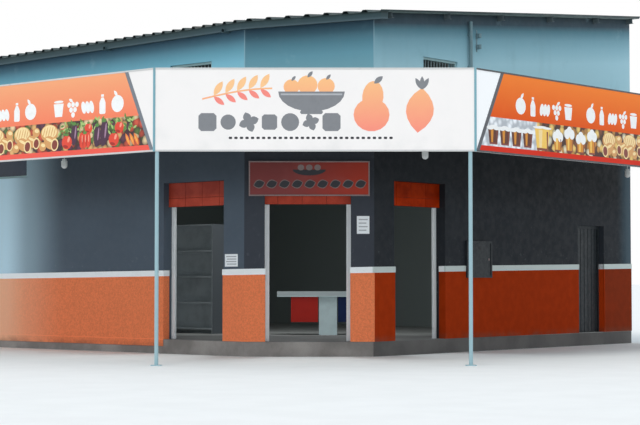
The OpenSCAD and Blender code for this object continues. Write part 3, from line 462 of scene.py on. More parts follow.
def white_vinyl_shader():
    """White printed sheet, faintly creased, with grey dust along its foot."""
    m = Shader("white_vinyl", roughness=0.4, specular=0.4)
    foot = m.step("Z", FASCIA_LOW, FASCIA_LOW + 0.5, 0.35, 0.1)
    dust = m.math("MULTIPLY", foot, m.span(m.noise(1.8, 6), 0.4, 0.8))
    on_side = m.step("X", FASCIA_R.x - 0.02, FASCIA_R.x - 0.002)
    clean = m.mix(on_side, (243, 238, 235), (255, 255, 255))
    m.colour(m.mix(dust, clean, (198, 200, 198)))
    m.bump(m.noise(1.1, 2), 0.15, 0.01)


def fade_shader(name, top, bottom, low, high, specular=0.3):
    """Printed sheet that runs from one colour to another between two heights over the fascia's foot."""
    m = Shader(name, roughness=0.45, specular=specular)
    body = m.mix(m.step("Z", FASCIA_LOW + low, FASCIA_LOW + high, smooth=False), bottom, top)
    m.colour(m.patchy(body, tint(top, 1.1), (2.2, 5), 0.5, 0.8, 0.12))
    m.bump(m.noise(1.1, 2), 0.15, 0.01)


def produce_shader(name, stops, ground, icy_to=None):
    """The far rows of a printed heap: small cells of food colours, or pale ice up to some place."""
    cells_per_m = 9
    m = Shader(name, roughness=0.4, specular=0.4)
    place = m.scaled(cells_per_m, cells_per_m, cells_per_m)
    cells = m.node("ShaderNodeTexVoronoi", {"Vector": place, "Scale": 1})
    food = m.ramp(m.axis("X", cells.outputs["Color"]), stops, "CONSTANT")
    rounded = m.span(cells.outputs["Distance"], 0.15, 0.75, 1, 0.35)
    shine = m.ramp(rounded, [(0, (40, 30, 26)), (1, (255, 255, 252))])
    food = m.mix(1, food, shine, "MULTIPLY")
    food = m.mix(m.span(cells.outputs["Distance"], 0.62, 0.8), food, ground)
    if icy_to:
        ice = m.ramp(rounded, [(0, (120, 128, 138)), (1, (246, 249, 252))])
        food = m.mix(m.step("Y", icy_to, icy_to + 0.06, 1, 0), food, ice)
    m.colour(food)


def trim_shader():
    """The fascia's trim: pale on the left and the middle, dark on the side, grey-green at the corners."""
    m = Shader("trim_paint", roughness=0.45, specular=0.4)
    on_side = m.step("X", FASCIA_R.x + 0.0004, FASCIA_R.x + 0.0014)
    body = m.mix(on_side, (204, 204, 202), (76, 76, 78))
    seam = m.math("MINIMUM", m.near(FASCIA_L), m.near(FASCIA_R))
    body = m.mix(m.span(seam, 0.0185, 0.0195, 1, 0), body, (118, 166, 178))
    m.colour(m.patchy(body, (150, 150, 146), (9, 5), 0.5, 0.8, 0.3))


def counter_shader():
    """Pale laminate fronts and a duller edge under a dark worktop."""
    m = Shader("counter_white", roughness=0.45, specular=0.4)
    front = m.patchy((214, 232, 233), (190, 206, 208), (6, 4), 0.4, 0.75, 0.4)
    front = m.mix(m.step("Z", COUNTER_TOP - 0.1, COUNTER_TOP - 0.08), front, (188, 197, 198))
    m.colour(m.mix(m.step("Z", COUNTER_TOP - 0.004, COUNTER_TOP - 0.001), front, (58, 60, 62)))


def sign_shader():
    """Printed red sheet, duller at its left end and darker at its top."""
    m = Shader("sign_red", roughness=0.5, specular=0.2)
    place = m.along(cut_dir.x, cut_dir.y, 0, -corner_l.dot(cut_dir))
    body = m.mix(m.span(place, 0.5, CUT_LEN), (138, 66, 66), (182, 60, 42))
    top = m.step("Z", SIGN_LOW, SIGN_HIGH, smooth=False)
    body = m.mix(top, body, (0.68, 0.68, 0.62, 1), "MULTIPLY")
    m.colour(m.patchy(body, (150, 84, 82), (2, 6), 0.45, 0.75, 0.3))


def shelf_shader():
    """Grey enamelled steel, darker on the end panel by the doorway as painted shade."""
    m = Shader("shelf_grey", roughness=0.5, specular=0.3)
    body = m.patchy((214, 220, 224), (186, 192, 196), (3, 5), 0.4, 0.75)
    # Painted shade on the end panel
    m.colour(m.mix(m.step("X", SHELF_END - 0.004, SHELF_END - 0.001), body, (92, 97, 101)))
    m.bump(m.noise(30, 3), 0.1, 0.002)


def glass_shader():
    """Dusty glass, coloured dark as painted shade of the hall behind it."""
    m = Shader("dull_glass", roughness=0.2, specular=0.3)
    m.colour(m.patchy((44, 56, 74), (66, 78, 96), (3, 4), 0.4, 0.7, 0.4))
    m.surface("IOR", 1.5)


def opal_shader():
    """Opal plastic with a little dust."""
    m = Shader("opal_white", roughness=0.3)
    m.colour(m.patchy((206, 209, 208), (168, 171, 170), (20, 3), 0.4, 0.8, 0.3))


# Painted light and shade towards a wall's end: an axis, a colour, and places of none and full with their
# share
END_SHADING_STEPS = [(-1.7, -2.4, 0.5), (-0.6, -2, 0.5)]
END_LIGHT_LEFT = ("X", (200, 230, 244), END_SHADING_STEPS)
END_LIGHT_DADO = ("X", (255, 200, 164), END_SHADING_STEPS)
END_SHADE_DADO_RIGHT = ("Y", (86, 50, 36), [(3.83, 3.86, 0.66)])
END_LIGHT_RIGHT = ("Y", (66, 88, 100), [(4.3, 4.84, 0.85)])
# The side wall's colour under the canopy, dark as painted shade
SHADE_RIGHT = (39, 43, 48)

concrete_shader()
# One paint on the three outer walls, in lit and shaded copies with painted shade under the canopy and the
# eave
wall_shader("wall_left_paint_and_shade", (84, 95, 107), EAVES_LEFT, END_LIGHT_LEFT)
wall_shader("wall_corner_paint_and_shade", (64, 68, 76), EAVES_CORNER)
wall_shader("wall_right_paint_and_shade", SHADE_RIGHT, EAVES_RIGHT, END_LIGHT_RIGHT)
plain_wall_shader(SHADE_RIGHT, END_LIGHT_RIGHT)
dado_shader("dado_orange", (255, 140, 92), True, DADO_FOOT, END_LIGHT_DADO)
dado_shader("dado_red", (173, 57, 17), False, FLOOR_Z, END_SHADE_DADO_RIGHT)
band_shader()
tile_shader()
metal_shader("shutter_steel", (252, 254, 254), (240, 244, 246), 0.45, 0)
metal_shader("silver_trim", (142, 122, 120), (112, 98, 98), 0.4, 0.3)
sign_shader()
metal_shader("galvanised", (150, 156, 158), (112, 116, 116), 0.55, 0.5)
sheet_shader("roof_sheet", (66, 82, 84), (50, 62, 64))
sheet_shader("canopy_sheet", (116, 126, 126), (92, 100, 100))
gutter_shader()
opal_shader()
white_vinyl_shader()
fade_shader("orange_left", (244, 164, 116), (244, 122, 90), 0.5, 1.2)
fade_shader("orange_right", (246, 130, 52), (226, 84, 26), 0.5, 1.2, 0.08)
fade_shader("emblem_fade", (248, 190, 132), (246, 134, 122), 0.2, 1.1)
counter_shader()
shelf_shader()
glass_shader()

# Paints: colour, worn colour, roughness, wear, and the blotches' scale and the specular where they differ
PAINTS = {
    "grout": ((84, 34, 24), (64, 30, 24), 0.9, 0.6, 20, 0.2),
    "door_grey": ((42, 48, 52), (62, 66, 68), 0.5, 0.4, 6, 0.3),
    "mast_paint": ((103, 132, 140), (78, 100, 108), 0.5, 0.5),
    "roof_steel": ((84, 90, 90), (120, 122, 118), 0.6, 0.4, 5, 0.3),
    # Purlins darkened as painted shade under the roof
    "purlin_paint_in_shade": ((98, 108, 112), (76, 82, 86), 0.6, 0.5, 5, 0.3),
    "frame_paint": ((150, 182, 186), (128, 142, 140), 0.45, 0.4),
    "post_blue": ((150, 182, 190), (172, 196, 202), 0.4, 0.3),
    "red_left": ((240, 84, 66), (226, 72, 54), 0.4, 0.4, 2),
    "red_right": ((216, 54, 36), (200, 46, 28), 0.4, 0.4, 2, 0.06),
    "stripe_left": ((116, 122, 130), (104, 108, 116), 0.4, 0.3),
    "stripe_right": ((82, 84, 90), (96, 98, 104), 0.4, 0.3),
    "counter_red": ((188, 40, 30), (166, 34, 28), 0.45, 0.3, 6, 0.2),
    "counter_blue": ((18, 38, 82), (14, 30, 66), 0.45, 0.3, 6, 0.2),
    "vent_bar": ((132, 148, 152), (96, 104, 104), 0.5, 0.5, 12),
    "paper": ((250, 253, 255), (232, 236, 240), 0.7, 0.3),
    "belt_black": ((26, 27, 29), (44, 46, 48), 0.6, 0.4),
}
for name, values in PAINTS.items():
    paint_shader(name, *values)

INK_COLOURS = {
    "white": (244, 244, 242), "grey": (128, 130, 134), "pale_grey": (176, 178, 182), "dark": (46, 46, 52),
    "red": (226, 70, 48), "pink": (250, 158, 132), "green": (92, 138, 66), "lime": (168, 196, 116),
    "purple": (74, 44, 66), "lilac": (164, 128, 152), "orange": (240, 132, 62), "crust": (216, 158, 96),
    "crumb": (248, 220, 160), "filling": (132, 60, 48), "amber": (214, 138, 34), "gold": (246, 200, 92),
    "rust": (168, 40, 30), "coral": (246, 138, 126), "soft_orange": (250, 196, 140),
    "sign_pale": (128, 112, 110), "cola": (92, 42, 24),
}
for name, colour in INK_COLOURS.items():
    paint_shader(f"ink_{name}", colour, tint(colour, 0.86), 0.4, 0.5, 14, 0.4)

FOOD_LEFT = [
    (0, (206, 84, 60)), (0.25, (96, 122, 62)), (0.45, (92, 52, 72)),
    (0.6, (226, 176, 112)), (0.8, (236, 206, 160)),
]
FOOD_RIGHT = [
    (0, (206, 146, 70)), (0.25, (236, 196, 110)), (0.45, (120, 66, 34)),
    (0.6, (236, 222, 190)), (0.8, (96, 44, 26)),
]
ICE_LEN = 1.62
produce_shader("produce_left", FOOD_LEFT, (62, 42, 40))
produce_shader("produce_right", FOOD_RIGHT, (58, 32, 20), FASCIA_R.y + ICE_LEN)
trim_shader()

NODE_LOOKS = {
    "cement": ["floor_slab"],
    "wall_left_paint_and_shade": ["front_wall_left", "front_wall_pier", "front_wall_upper"],
    "wall_corner_paint_and_shade": ["corner_pier_left", "corner_pier_right", "corner_wall_upper"],
    "wall_right_paint_and_shade": [
        "side_wall_front_pier", "side_wall_middle", "side_wall_rear", "side_wall_upper", "side_door_head",
    ],
    "wall_plain": ["back_wall", "left_party_wall"],
    "dado_orange": ["dado_front"],
    "dado_red": ["dado_side"],
    "band_white": ["white_band"],
    "grout": ["tiled_transoms"],
    "shutter_steel": ["roller_shutters"],
    "silver_trim": ["sign_frame_bars"],
    "sign_red": ["sign_panel"],
    "door_grey": ["side_door_frame", "side_door", "meter_box"],
    "mast_paint": ["service_mast"],
    "roof_steel": ["roof_beams", "canopy_beams"],
    "purlin_paint_in_shade": ["roof_purlins"],
    "galvanised": ["fascia_frame_front", "fascia_frame_corner", "fascia_frame_side"],
    "frame_paint": ["window_frames"],
    "roof_sheet": ["roof_sheets"],
    "canopy_sheet": ["canopy_sheets_front", "canopy_sheets_corner", "canopy_sheets_side"],
    "gutter_grey": ["eave_gutter"],
    "post_blue": ["canopy_posts"],
    "opal_white": ["canopy_lamps"],
    "white_vinyl": ["fascia_front", "fascia_corner", "fascia_side"],
    "trim_paint": ["fascia_trim"],
    "counter_white": ["checkout_counter"],
    "shelf_grey": ["shelf_unit"],
}
for look, names in NODE_LOOKS.items():
    for name in names:
        nodes[name].data.materials.clear()
        nodes[name].data.materials.append(LOOKS[look])

# Pieces that the scene adds


def add_object(name, data):
    made = bpy.data.objects.new(name, data)
    bpy.context.scene.collection.objects.link(made)
    return made


def add_mesh(name, shape, look):
    """Turns a bmesh into an object of one material."""
    mesh = bpy.data.meshes.new(name)
    shape.to_mesh(mesh)
    shape.free()
    mesh.materials.append(LOOKS[look])
    return add_object(name, mesh)


def finish_mesh(name, shape, look, body="building"):
    """Turns a bmesh into a piece that rides on a body."""
    bmesh.ops.recalc_face_normals(shape, faces=shape.faces)
    piece = add_mesh(name, shape, look)
    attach(piece, body)


def add_block(shape, wall, along, deep, up, bevel=0):
    """A block on a wall, given by its two ends along the wall, into the building and up."""
    s0, s1 = along
    d0, d1 = deep
    ring = [(s0, d0), (s1, d0), (s1, d1), (s0, d1)]
    points = [shape.verts.new(on_wall(wall, s, d, z)) for z in up for s, d in ring]
    faces = [(3, 2, 1, 0), (4, 5, 6, 7), (0, 1, 5, 4), (1, 2, 6, 5), (2, 3, 7, 6), (3, 0, 4, 7)]
    made = [shape.faces.new([points[i] for i in face]) for face in faces]
    if bevel:
        edges = dict.fromkeys(edge for face in made for edge in face.edges)
        bmesh.ops.bevel(shape, geom=list(edges), offset=bevel, segments=1, affect="EDGES")


def block_piece(name, look, wall, along, deep, up, bevel=0):
    """A piece of one block."""
    shape = bmesh.new()
    add_block(shape, wall, along, deep, up, bevel)
    finish_mesh(name, shape, look)


def add_prism(shape, front, back):
    """A flat plate from two rings of points."""
    front = [shape.verts.new(point) for point in front]
    back = [shape.verts.new(point) for point in back]
    shape.faces.new(front)
    shape.faces.new(reversed(back))
    for i in range(len(front)):
        j = (i + 1) % len(front)
        shape.faces.new((front[i], back[i], back[j], front[j]))


def tiles():
    """Two rows of glazed tiles on each panel over the shop openings; the first tile of a row is cut."""
    joint = 0.003
    tile_t = 0.008
    bevel = 0.0015
    first_w = OPENING_W - 3 * TILE_W
    deep = (TRANSOM_RECESS - tile_t, TRANSOM_RECESS)
    for wall, start in OPENINGS.items():
        shape = bmesh.new()
        edges = [start, start + first_w] + [start + first_w + TILE_W * i for i in (1, 2, 3)]
        for z0, z1 in ((TILES_LOW, TILE_SPLIT), (TILE_SPLIT, TILES_HIGH)):
            for s0, s1 in zip(edges, edges[1:]):
                add_block(shape, wall, (s0 + joint, s1 - joint), deep, (z0 + joint, z1 - joint), bevel)
        finish_mesh(f"tiles_{wall}", shape, "red_tile")


def window_bars():
    """Upright flat bars in the two vent windows, with a flat across their middle."""
    bars = 11
    half_bar = 0.007
    half_flat = 0.015
    clear = VENT_W - 2 * FRAME_BAR
    for wall, (start, sill) in VENTS.items():
        low = sill + FRAME_BAR
        high = sill + VENT_H - FRAME_BAR
        middle = (low + high) / 2
        shape = bmesh.new()
        along = (start + FRAME_BAR, start + VENT_W - FRAME_BAR)
        add_block(shape, wall, along, (0.065, 0.071), (middle - half_flat, middle + half_flat))
        for i in range(1, bars):
            s = start + FRAME_BAR + clear * i / bars
            add_block(shape, wall, (s - half_bar, s + half_bar), (0.045, 0.065), (low, high), 0.002)
        finish_mesh(f"vent_bars_{wall}", shape, "vent_bar")


def high_window_glass():
    """One pane in the high window under the canopy."""
    start, end, sill, head = HIGH_WINDOW
    along = (start + FRAME_BAR, end - FRAME_BAR)
    up = (sill + FRAME_BAR, head - FRAME_BAR)
    block_piece("high_window_pane", "dull_glass", "front", along, (0.058, 0.064), up)


def roof_screws():
    """A screw with a washer on every rib of the roof, over each purlin."""
    steps = [(0.011, -0.001, 0.0015), (0.006, 0.0015, 0.006)]
    from_edge = 0.06
    turns = [math.pi * k / 3 for k in range(6)]
    shape = bmesh.new()
    for i in range(int((2 * HALF_X + 2 * VERGE) / RIB_PITCH)):
        x = -HALF_X - VERGE + (i + 0.5) * RIB_PITCH
        for y in PURLIN_ROWS:
            past_corner = (Vector((x, y)) - corner_l).dot(cut_out)
            if past_corner > OVERHANG - from_edge:
                continue
            top = EAVE_Z + (y + HALF_Y + OVERHANG) * ROOF_RISE_Y + x * ROOF_RISE_X + RIB_TOP
            for r, low, high in steps:
                ring = [Vector((x + r * math.cos(turn), y + r * math.sin(turn), top)) for turn in turns]
                add_prism(shape, *([point + Vector((0, 0, z)) for point in ring] for z in (high, low)))
    finish_mesh("roof_screws", shape, "galvanised")


def meter_box_details():
    """Slots and a lock on the meter box's door."""
    slot_half_w = 0.09
    slot_half_h = 0.004
    slot_pitch = 0.022
    under_top = 0.09
    lock_at = (0.28, 0.31)
    lock_half_h = 0.02
    low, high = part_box("meter_box")
    s_mid = (low.y + high.y) / 2 - corner_r.y
    z_mid = (low.z + high.z) / 2
    along = (s_mid - slot_half_w, s_mid + slot_half_w)
    slots = bmesh.new()
    for i in range(4):
        z = high.z - under_top - i * slot_pitch
        add_block(slots, "side", along, (-0.034, -0.032), (z - slot_half_h, z + slot_half_h))
    finish_mesh("meter_box_slots", slots, "belt_black")
    along = [s_mid + s for s in lock_at]
    up = (z_mid - lock_half_h, z_mid + lock_half_h)
    block_piece("meter_box_lock", "silver_trim", "side", along, (-0.038, -0.033), up, 0.002)


def notices():
    """A sheet of paper ruled with plain lines on the left pier, and one on the corner's right pier."""
    places = {
        "left": ("front", 0.148, 0.445, 1.505, 1.715),
        "corner": ("corner", 1.885, 2.095, 2.052, 2.349),
    }
    margin = 0.03
    short = 0.02
    half_h = 0.009
    for name, (wall, s0, s1, z0, z1) in places.items():
        block_piece(f"notice_{name}", "paper", wall, (s0, s1), (-0.001, 0), (z0, z1))
        lines = bmesh.new()
        for i in range(4):
            z = z1 - (z1 - z0) * (0.2 + 0.2 * i)
            along = (s0 + margin, s1 - margin - short * (i % 2))
            add_block(lines, wall, along, (-0.0014, -0.001), (z - half_h, z + half_h))
        finish_mesh(f"notice_lines_{name}", lines, "ink_pale_grey")


def counter_panels():
    """A red and a blue panel that hang under the counter's top."""
    deep = (3.52, 3.526)
    up = (0.493, 0.965)
    for name, along in (("red", (0.7245, 1.2305)), ("blue", (1.605, 1.849))):
        block_piece(f"counter_panel_{name}", f"counter_{name}", "corner", along, deep, up)


# Prints on the fascia and on the sign board, given by points s along the side and z above its foot

PRINT_T = 0.003
LAYER_T = 0.0004
OVERLAPS = 40
OVERLAP_T = 0.000006
EDGE = 0.025
RED_H = 0.105
PICTURES_FROM = 0.46
MARK_PITCH = 0.34
MARK_Z = 0.785
MARK_R = 0.138
MARKS_END = 0.2
SIGN_W = SIGN_OUTER_W - 2 * SIGN_BAR
SIGN_AT = (CUT_LEN - SIGN_OUTER_W) / 2 + SIGN_BAR


def fascia_point(side, s, z, proud):
    """A point of a side's outer face, or of the sign board's."""
    if side == "front":
        return Vector((FASCIA_L.x - s, FASCIA_L.y - proud, FASCIA_LOW + z))
    if side == "side":
        return Vector((FASCIA_R.x + proud, FASCIA_R.y + s, FASCIA_LOW + z))
    if side == "sign":
        return on_wall("corner", SIGN_AT + s, SIGN_FACE - proud, SIGN_LOW + z)
    flat = FASCIA_L + cut_dir * s + cut_out * proud
    return Vector((flat.x, flat.y, FASCIA_LOW + z))


class Print:
    """Printed shapes on one side, gathered by ink; each layer lies just over the one below."""

    def __init__(self, side, name, slot, ground=PRINT_T):
        self.side = side
        self.name = name
        self.slot = slot
        self.ground = ground
        self.inks = {}
        self.count = 0

    def add(self, ink, outline, layer=0, thick=LAYER_T):
        """Adds a shape in an ink or in another material, given by its name."""
        look = f"ink_{ink}" if ink in INK_COLOURS else ink
        if look not in self.inks:
            self.inks[look] = bmesh.new()
        low = self.ground + layer * LAYER_T
        self.count = (self.count + 1) % OVERLAPS
        high = low + thick + self.count * OVERLAP_T
        rings = [[fascia_point(self.side, s, z, proud) for s, z in outline] for proud in (high, low)]
        add_prism(self.inks[look], *rings)

    def finish(self):
        for look, shape in self.inks.items():
            finish_mesh(f"{self.name}_{look}", shape, look)


def turned(points, s, z, turn):
    """Points turned by an angle in degrees and moved to s, z."""
    c, n = math.cos(math.radians(turn)), math.sin(math.radians(turn))
    return [(s + x * c - y * n, z + x * n + y * c) for x, y in points]


def oval(s, z, a, b, turn=0, count=18):
    """An oval with half sizes a and b."""
    angles = [2 * math.pi * i / count for i in range(count)]
    return turned([(a * math.cos(angle), b * math.sin(angle)) for angle in angles], s, z, turn)


def leaf(s, z, length, width, turn):
    """A leaf from its stalk at s, z, pointing along an angle."""
    steps = 7
    side = [(length * i / steps, width / 2 * math.sin(math.pi * i / steps) ** 0.8) for i in range(1, steps)]
    ring = [(0, 0)] + side + [(length, 0)] + [(x, -y) for x, y in reversed(side)]
    return turned(ring, s, z, turn)


def panel(s0, s1, z0, z1, cut=0):
    """A rectangle with cut corners."""
    if not cut:
        return [(s0, z0), (s1, z0), (s1, z1), (s0, z1)]
    foot = [(s0 + cut, z0), (s1 - cut, z0), (s1, z0 + cut)]
    top = [(s1, z1 - cut), (s1 - cut, z1), (s0 + cut, z1), (s0, z1 - cut)]
    return foot + top + [(s0, z0 + cut)]


def taper(s, z0, z1, foot_w, top_w):
    """An upright shape with a foot and a top of different widths."""
    return [(s - foot_w / 2, z0), (s + foot_w / 2, z0), (s + top_w / 2, z1), (s - top_w / 2, z1)]


def bowl(s, rim_z, half_w, depth, steps):
    """A bowl's outline from one end of its rim to the other."""
    turns = [math.pi * i / steps for i in range(steps + 1)]
    return [(s + half_w * math.cos(turn), rim_z - depth * math.sin(turn)) for turn in turns]


def draw(p, thing, s, z, r, layer=0):
    """Draws a thing of size r, whose parts are given in shares of r."""
    for ink, shape, x, y, a, b, turn, over in thing:
        p.add(ink, shape(s + r * x, z + r * y, r * a, r * b, turn), layer + over)


def berry(s, z, a, b, turn):
    return oval(s, z, a, b, turn, 12)


# Printed things: for each part an ink, a shape, its place and two sizes, its turn and its layer
TOMATO = [
    ("red", oval, 0, 0, 1, 0.92, 0, 0), ("pink", oval, -0.35, 0.35, 0.22, 0.4, 25, 1),
    ("rust", oval, 0.25, -0.55, 0.5, 0.2, 12, 1),
] + [("green", leaf, 0, 0.8, 0.5, 0.22, turn, 1) for turn in (40, 90, 140)]
PEPPER = [part for x in (-0.75, 0.75, 0) for part in (
    ("red", oval, x, 0, 0.6, 1.25, 0, 0), ("pink", oval, x - 0.15, 0.25, 0.12, 0.6, 0, 1),
    ("rust", oval, x + 0.42, -0.2, 0.1, 0.8, 0, 1),
)] + [("green", oval, 0, 1.15, 0.45, 0.25, 0, 1), ("green", leaf, 0, 1.2, 0.9, 0.35, 70, 1)]
AUBERGINE = [
    ("purple", oval, 0, 0, 0.62, 1.5, 6, 0), ("lilac", oval, -0.25, 0.2, 0.13, 0.85, 8, 1),
    ("green", oval, 0, 1.35, 0.4, 0.22, 0, 1),
]
CARROTS = [part for x in (0, 1.1, 2.2) for part in (
    ("orange", leaf, x, -1, 2.6, 0.8, 62, 0), ("gold", leaf, x + 0.3, -0.5, 1.5, 0.16, 62, 1),
)]
ROLL = [
    ("crust", oval, 0.5, 0.2, 1.3, 0.85, 20, 0), ("crumb", oval, 0.6, 0.55, 0.8, 0.2, 20, 1),
    ("crumb", oval, -0.4, -0.1, 0.75, 0.85, 15, 1), ("filling", oval, -0.4, -0.12, 0.55, 0.65, 15, 2),
]
BUN = [("crust", oval, 0, 0, 1, 0.85, 0, 0), ("crumb", oval, -0.15, 0.25, 0.6, 0.35, 10, 1)]
PIE = [
    ("crust", oval, 0, 0, 1.5, 1, 0, 0), ("crumb", oval, 0, 0.15, 1.3, 0.78, 0, 1),
] + [("crust", oval, 0.45 * i, 0.15, 0.06, 0.6, 20, 2) for i in range(-2, 3)]
FRUIT = [("white", oval, 0, -0.1, 1, 0.95, 0, 0), ("white", leaf, 0, 0.7, 0.9, 0.4, 50, 0)]
LOAF = [("white", oval, x, -0.2, 0.38, 0.72, -14, 0) for x in (-0.66, 0, 0.66)]
GRAPES = [
    ("white", berry, x, y, 0.31, 0.31, 0, 0)
    for x, y in ((-0.66, 0.25), (0, 0.25), (0.66, 0.25), (-0.33, -0.33), (0.33, -0.33), (0, -0.91))
] + [("white", leaf, 0, 0.55, 0.8, 0.36, 30, 0)]


def greens(p, s, z, r, layer, rng):
    """A heap of small leaves."""
    for i in range(16):
        turn = rng.uniform(0, 360)
        at = s + rng.uniform(-r, r)
        up = z + rng.uniform(-0.6, 0.6) * r
        ink = "lime" if i % 3 == 0 else "green"
        p.add(ink, leaf(at, up, r * 0.6, r * 0.24, turn), layer + i % 2)


def tumbler(p, s, z0, width, height, foam, layer, drink, streak):
    """A glass with a drink, a bright streak, a dark base and edge, and a white top."""
    bright = taper(s - width * 0.12, z0 + height * 0.12, z0 + height * 0.9, width * 0.16, width * 0.26)
    edge = taper(s + width * 0.34, z0 + height * 0.1, z0 + height * 0.85, width * 0.06, width * 0.1)
    p.add(drink, taper(s, z0, z0 + height, width * 0.72, width), layer)
    p.add(streak, bright, layer + 1)
    p.add("filling", taper(s, z0, z0 + height * 0.1, width * 0.7, width * 0.74), layer + 1)
    p.add("filling", edge, layer + 1)
    for shift, lift in ((-0.3, 0), (0.3, 0), (0, 0.35)):
        top = z0 + height + foam * lift
        p.add("white", oval(s + width * shift, top, width * 0.33, foam * 0.62), layer + 1)


# Printed food with its place along the strip, its height over the strip's foot or top, its size and layer
VEGETABLES = [
    (TOMATO, 0.3, 0.3, 0.1, 2), (TOMATO, 0.42, 0.12, 0.115, 3), (AUBERGINE, 0.64, 0.24, 0.14, 2),
    (AUBERGINE, 0.8, 0.2, 0.12, 3), (TOMATO, 1, 0.32, 0.09, 2), (PEPPER, 1.08, 0.145, 0.1, 4),
    (AUBERGINE, 1.33, 0.25, 0.12, 2), (TOMATO, 1.5, 0.13, 0.12, 3),
]
VEGETABLES_LEN = 1.72
FAR_BREAD = [(PIE, 0.2, -0.16, 0.14, 0), (BUN, 0.52, -0.13, 0.09, 0)]
NEAR_BREAD = [(ROLL, 0.12, 0.12, 0.12, 2), (BUN, 0.36, 0.09, 0.085, 4), (ROLL, 0.56, 0.16, 0.11, 2)]
BREAD_PITCH = 0.66
BREAD_LEN = 0.74


def draw_row(p, row, s, z):
    """Draws a row of things, each at its own place from s and z."""
    for thing, along, up, size, layer in row:
        draw(p, thing, s + along, z + up, size, layer)


def vegetables(p, s, low, high):
    """Carrots, leaves behind, and vegetables before them; gives the place where they end."""
    rng = random.Random(7)
    draw(p, CARROTS, s - 0.13, low + 0.09, 0.085, 2)
    for i in range(6):
        greens(p, s + 0.12 + i * 0.28, high - 0.11, 0.15, 0, rng)
    draw_row(p, VEGETABLES, s, low)
    return s + VEGETABLES_LEN


def drinks(p, s, low, high):
    """Four small glasses, a large one and four with foam; gives the place where they end."""
    rise = high - low
    for i in range(4):
        tumbler(p, s, low + 0.03, 0.28, rise * 0.56, 0.05, i % 2, "cola", "amber")
        s += 0.31
    tumbler(p, s + 0.1, low + 0.01, 0.42, rise * 0.8, 0.03, 2, "gold", "crumb")
    s += 0.55
    for i in range(4):
        tumbler(p, s, low + 0.02, 0.24, rise * (0.52 + 0.14 * (i % 2)), 0.13, 1 + i % 2, "amber", "gold")
        s += 0.34
    return s


def bread(p, s, end, low, high):
    """Bread up to the strip's end."""
    while s < end - BREAD_LEN:
        draw_row(p, FAR_BREAD, s, high)
        draw_row(p, NEAR_BREAD, s, low)
        s += BREAD_PITCH


def bottle(p, s, z, r):
    p.add("white", panel(s - r * 0.5, s + r * 0.5, z - r * 1.1, z + r * 0.3, r * 0.12))
    p.add("white", taper(s, z + r * 0.28, z + r * 0.75, r * 0.9, r * 0.36))
    p.add("white", panel(s - r * 0.22, s + r * 0.22, z + r * 0.82, z + r * 1.1))


def cup(p, s, z, r):
    p.add("white", taper(s, z - r, z + r * 0.5, r * 1.2, r * 1.7))
    p.add("white", oval(s, z + r * 0.72, r * 0.8, r * 0.16))


def mark_row(p, start, end):
    """Five marks in turn, with a gap after each set."""
    marks = [FRUIT, bottle, LOAF, GRAPES, cup]
    for i in range(int((end - start - MARKS_END) / MARK_PITCH)):
        turn = i % (len(marks) + 1)
        s = start + i * MARK_PITCH
        if turn == len(marks):
            continue
        if callable(marks[turn]):
            marks[turn](p, s, MARK_Z, MARK_R)
        else:
            draw(p, marks[turn], s, MARK_Z, MARK_R)


def side_print(side, hand, foot_s, top_s, stripe_w, strip_top, marks_from, pictures_of):
    """A side's print: a slanted stripe, a red foot, a strip of pictures, and a field with marks."""
    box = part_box(f"fascia_{side}")
    length = FASCIA_L.x - box[0].x if side == "front" else box[1].y - FASCIA_R.y
    height = FASCIA_HIGH - FASCIA_LOW
    lean = (top_s - foot_s) / height
    end = length - EDGE
    z_top = height - EDGE

    def slant(z, shift):
        return (foot_s + lean * z + shift, z)

    plates = Print(side, f"print_{side}", "fascia_orange", 0)
    outline = [slant(EDGE, 0), slant(z_top, 0), slant(z_top, stripe_w), slant(EDGE, stripe_w)]
    plates.add(f"stripe_{hand}", outline, 0, PRINT_T)
    levels = [EDGE, RED_H, strip_top, z_top]
    for field, low, high in zip(("red", "produce", "orange"), levels, levels[1:]):
        outline = [slant(low, stripe_w), slant(high, stripe_w), (end, high), (end, low)]
        plates.add(f"{field}_{hand}", outline, 0, PRINT_T)
    plates.finish()
    pictures = Print(side, f"pictures_{side}", "fascia_orange")
    bread_from = pictures_of(pictures, PICTURES_FROM, RED_H, strip_top)
    bread(pictures, bread_from, end, RED_H, strip_top)
    pictures.finish()
    marks = Print(side, f"marks_{side}", "fascia_orange")
    mark_row(marks, marks_from, end)
    marks.finish()


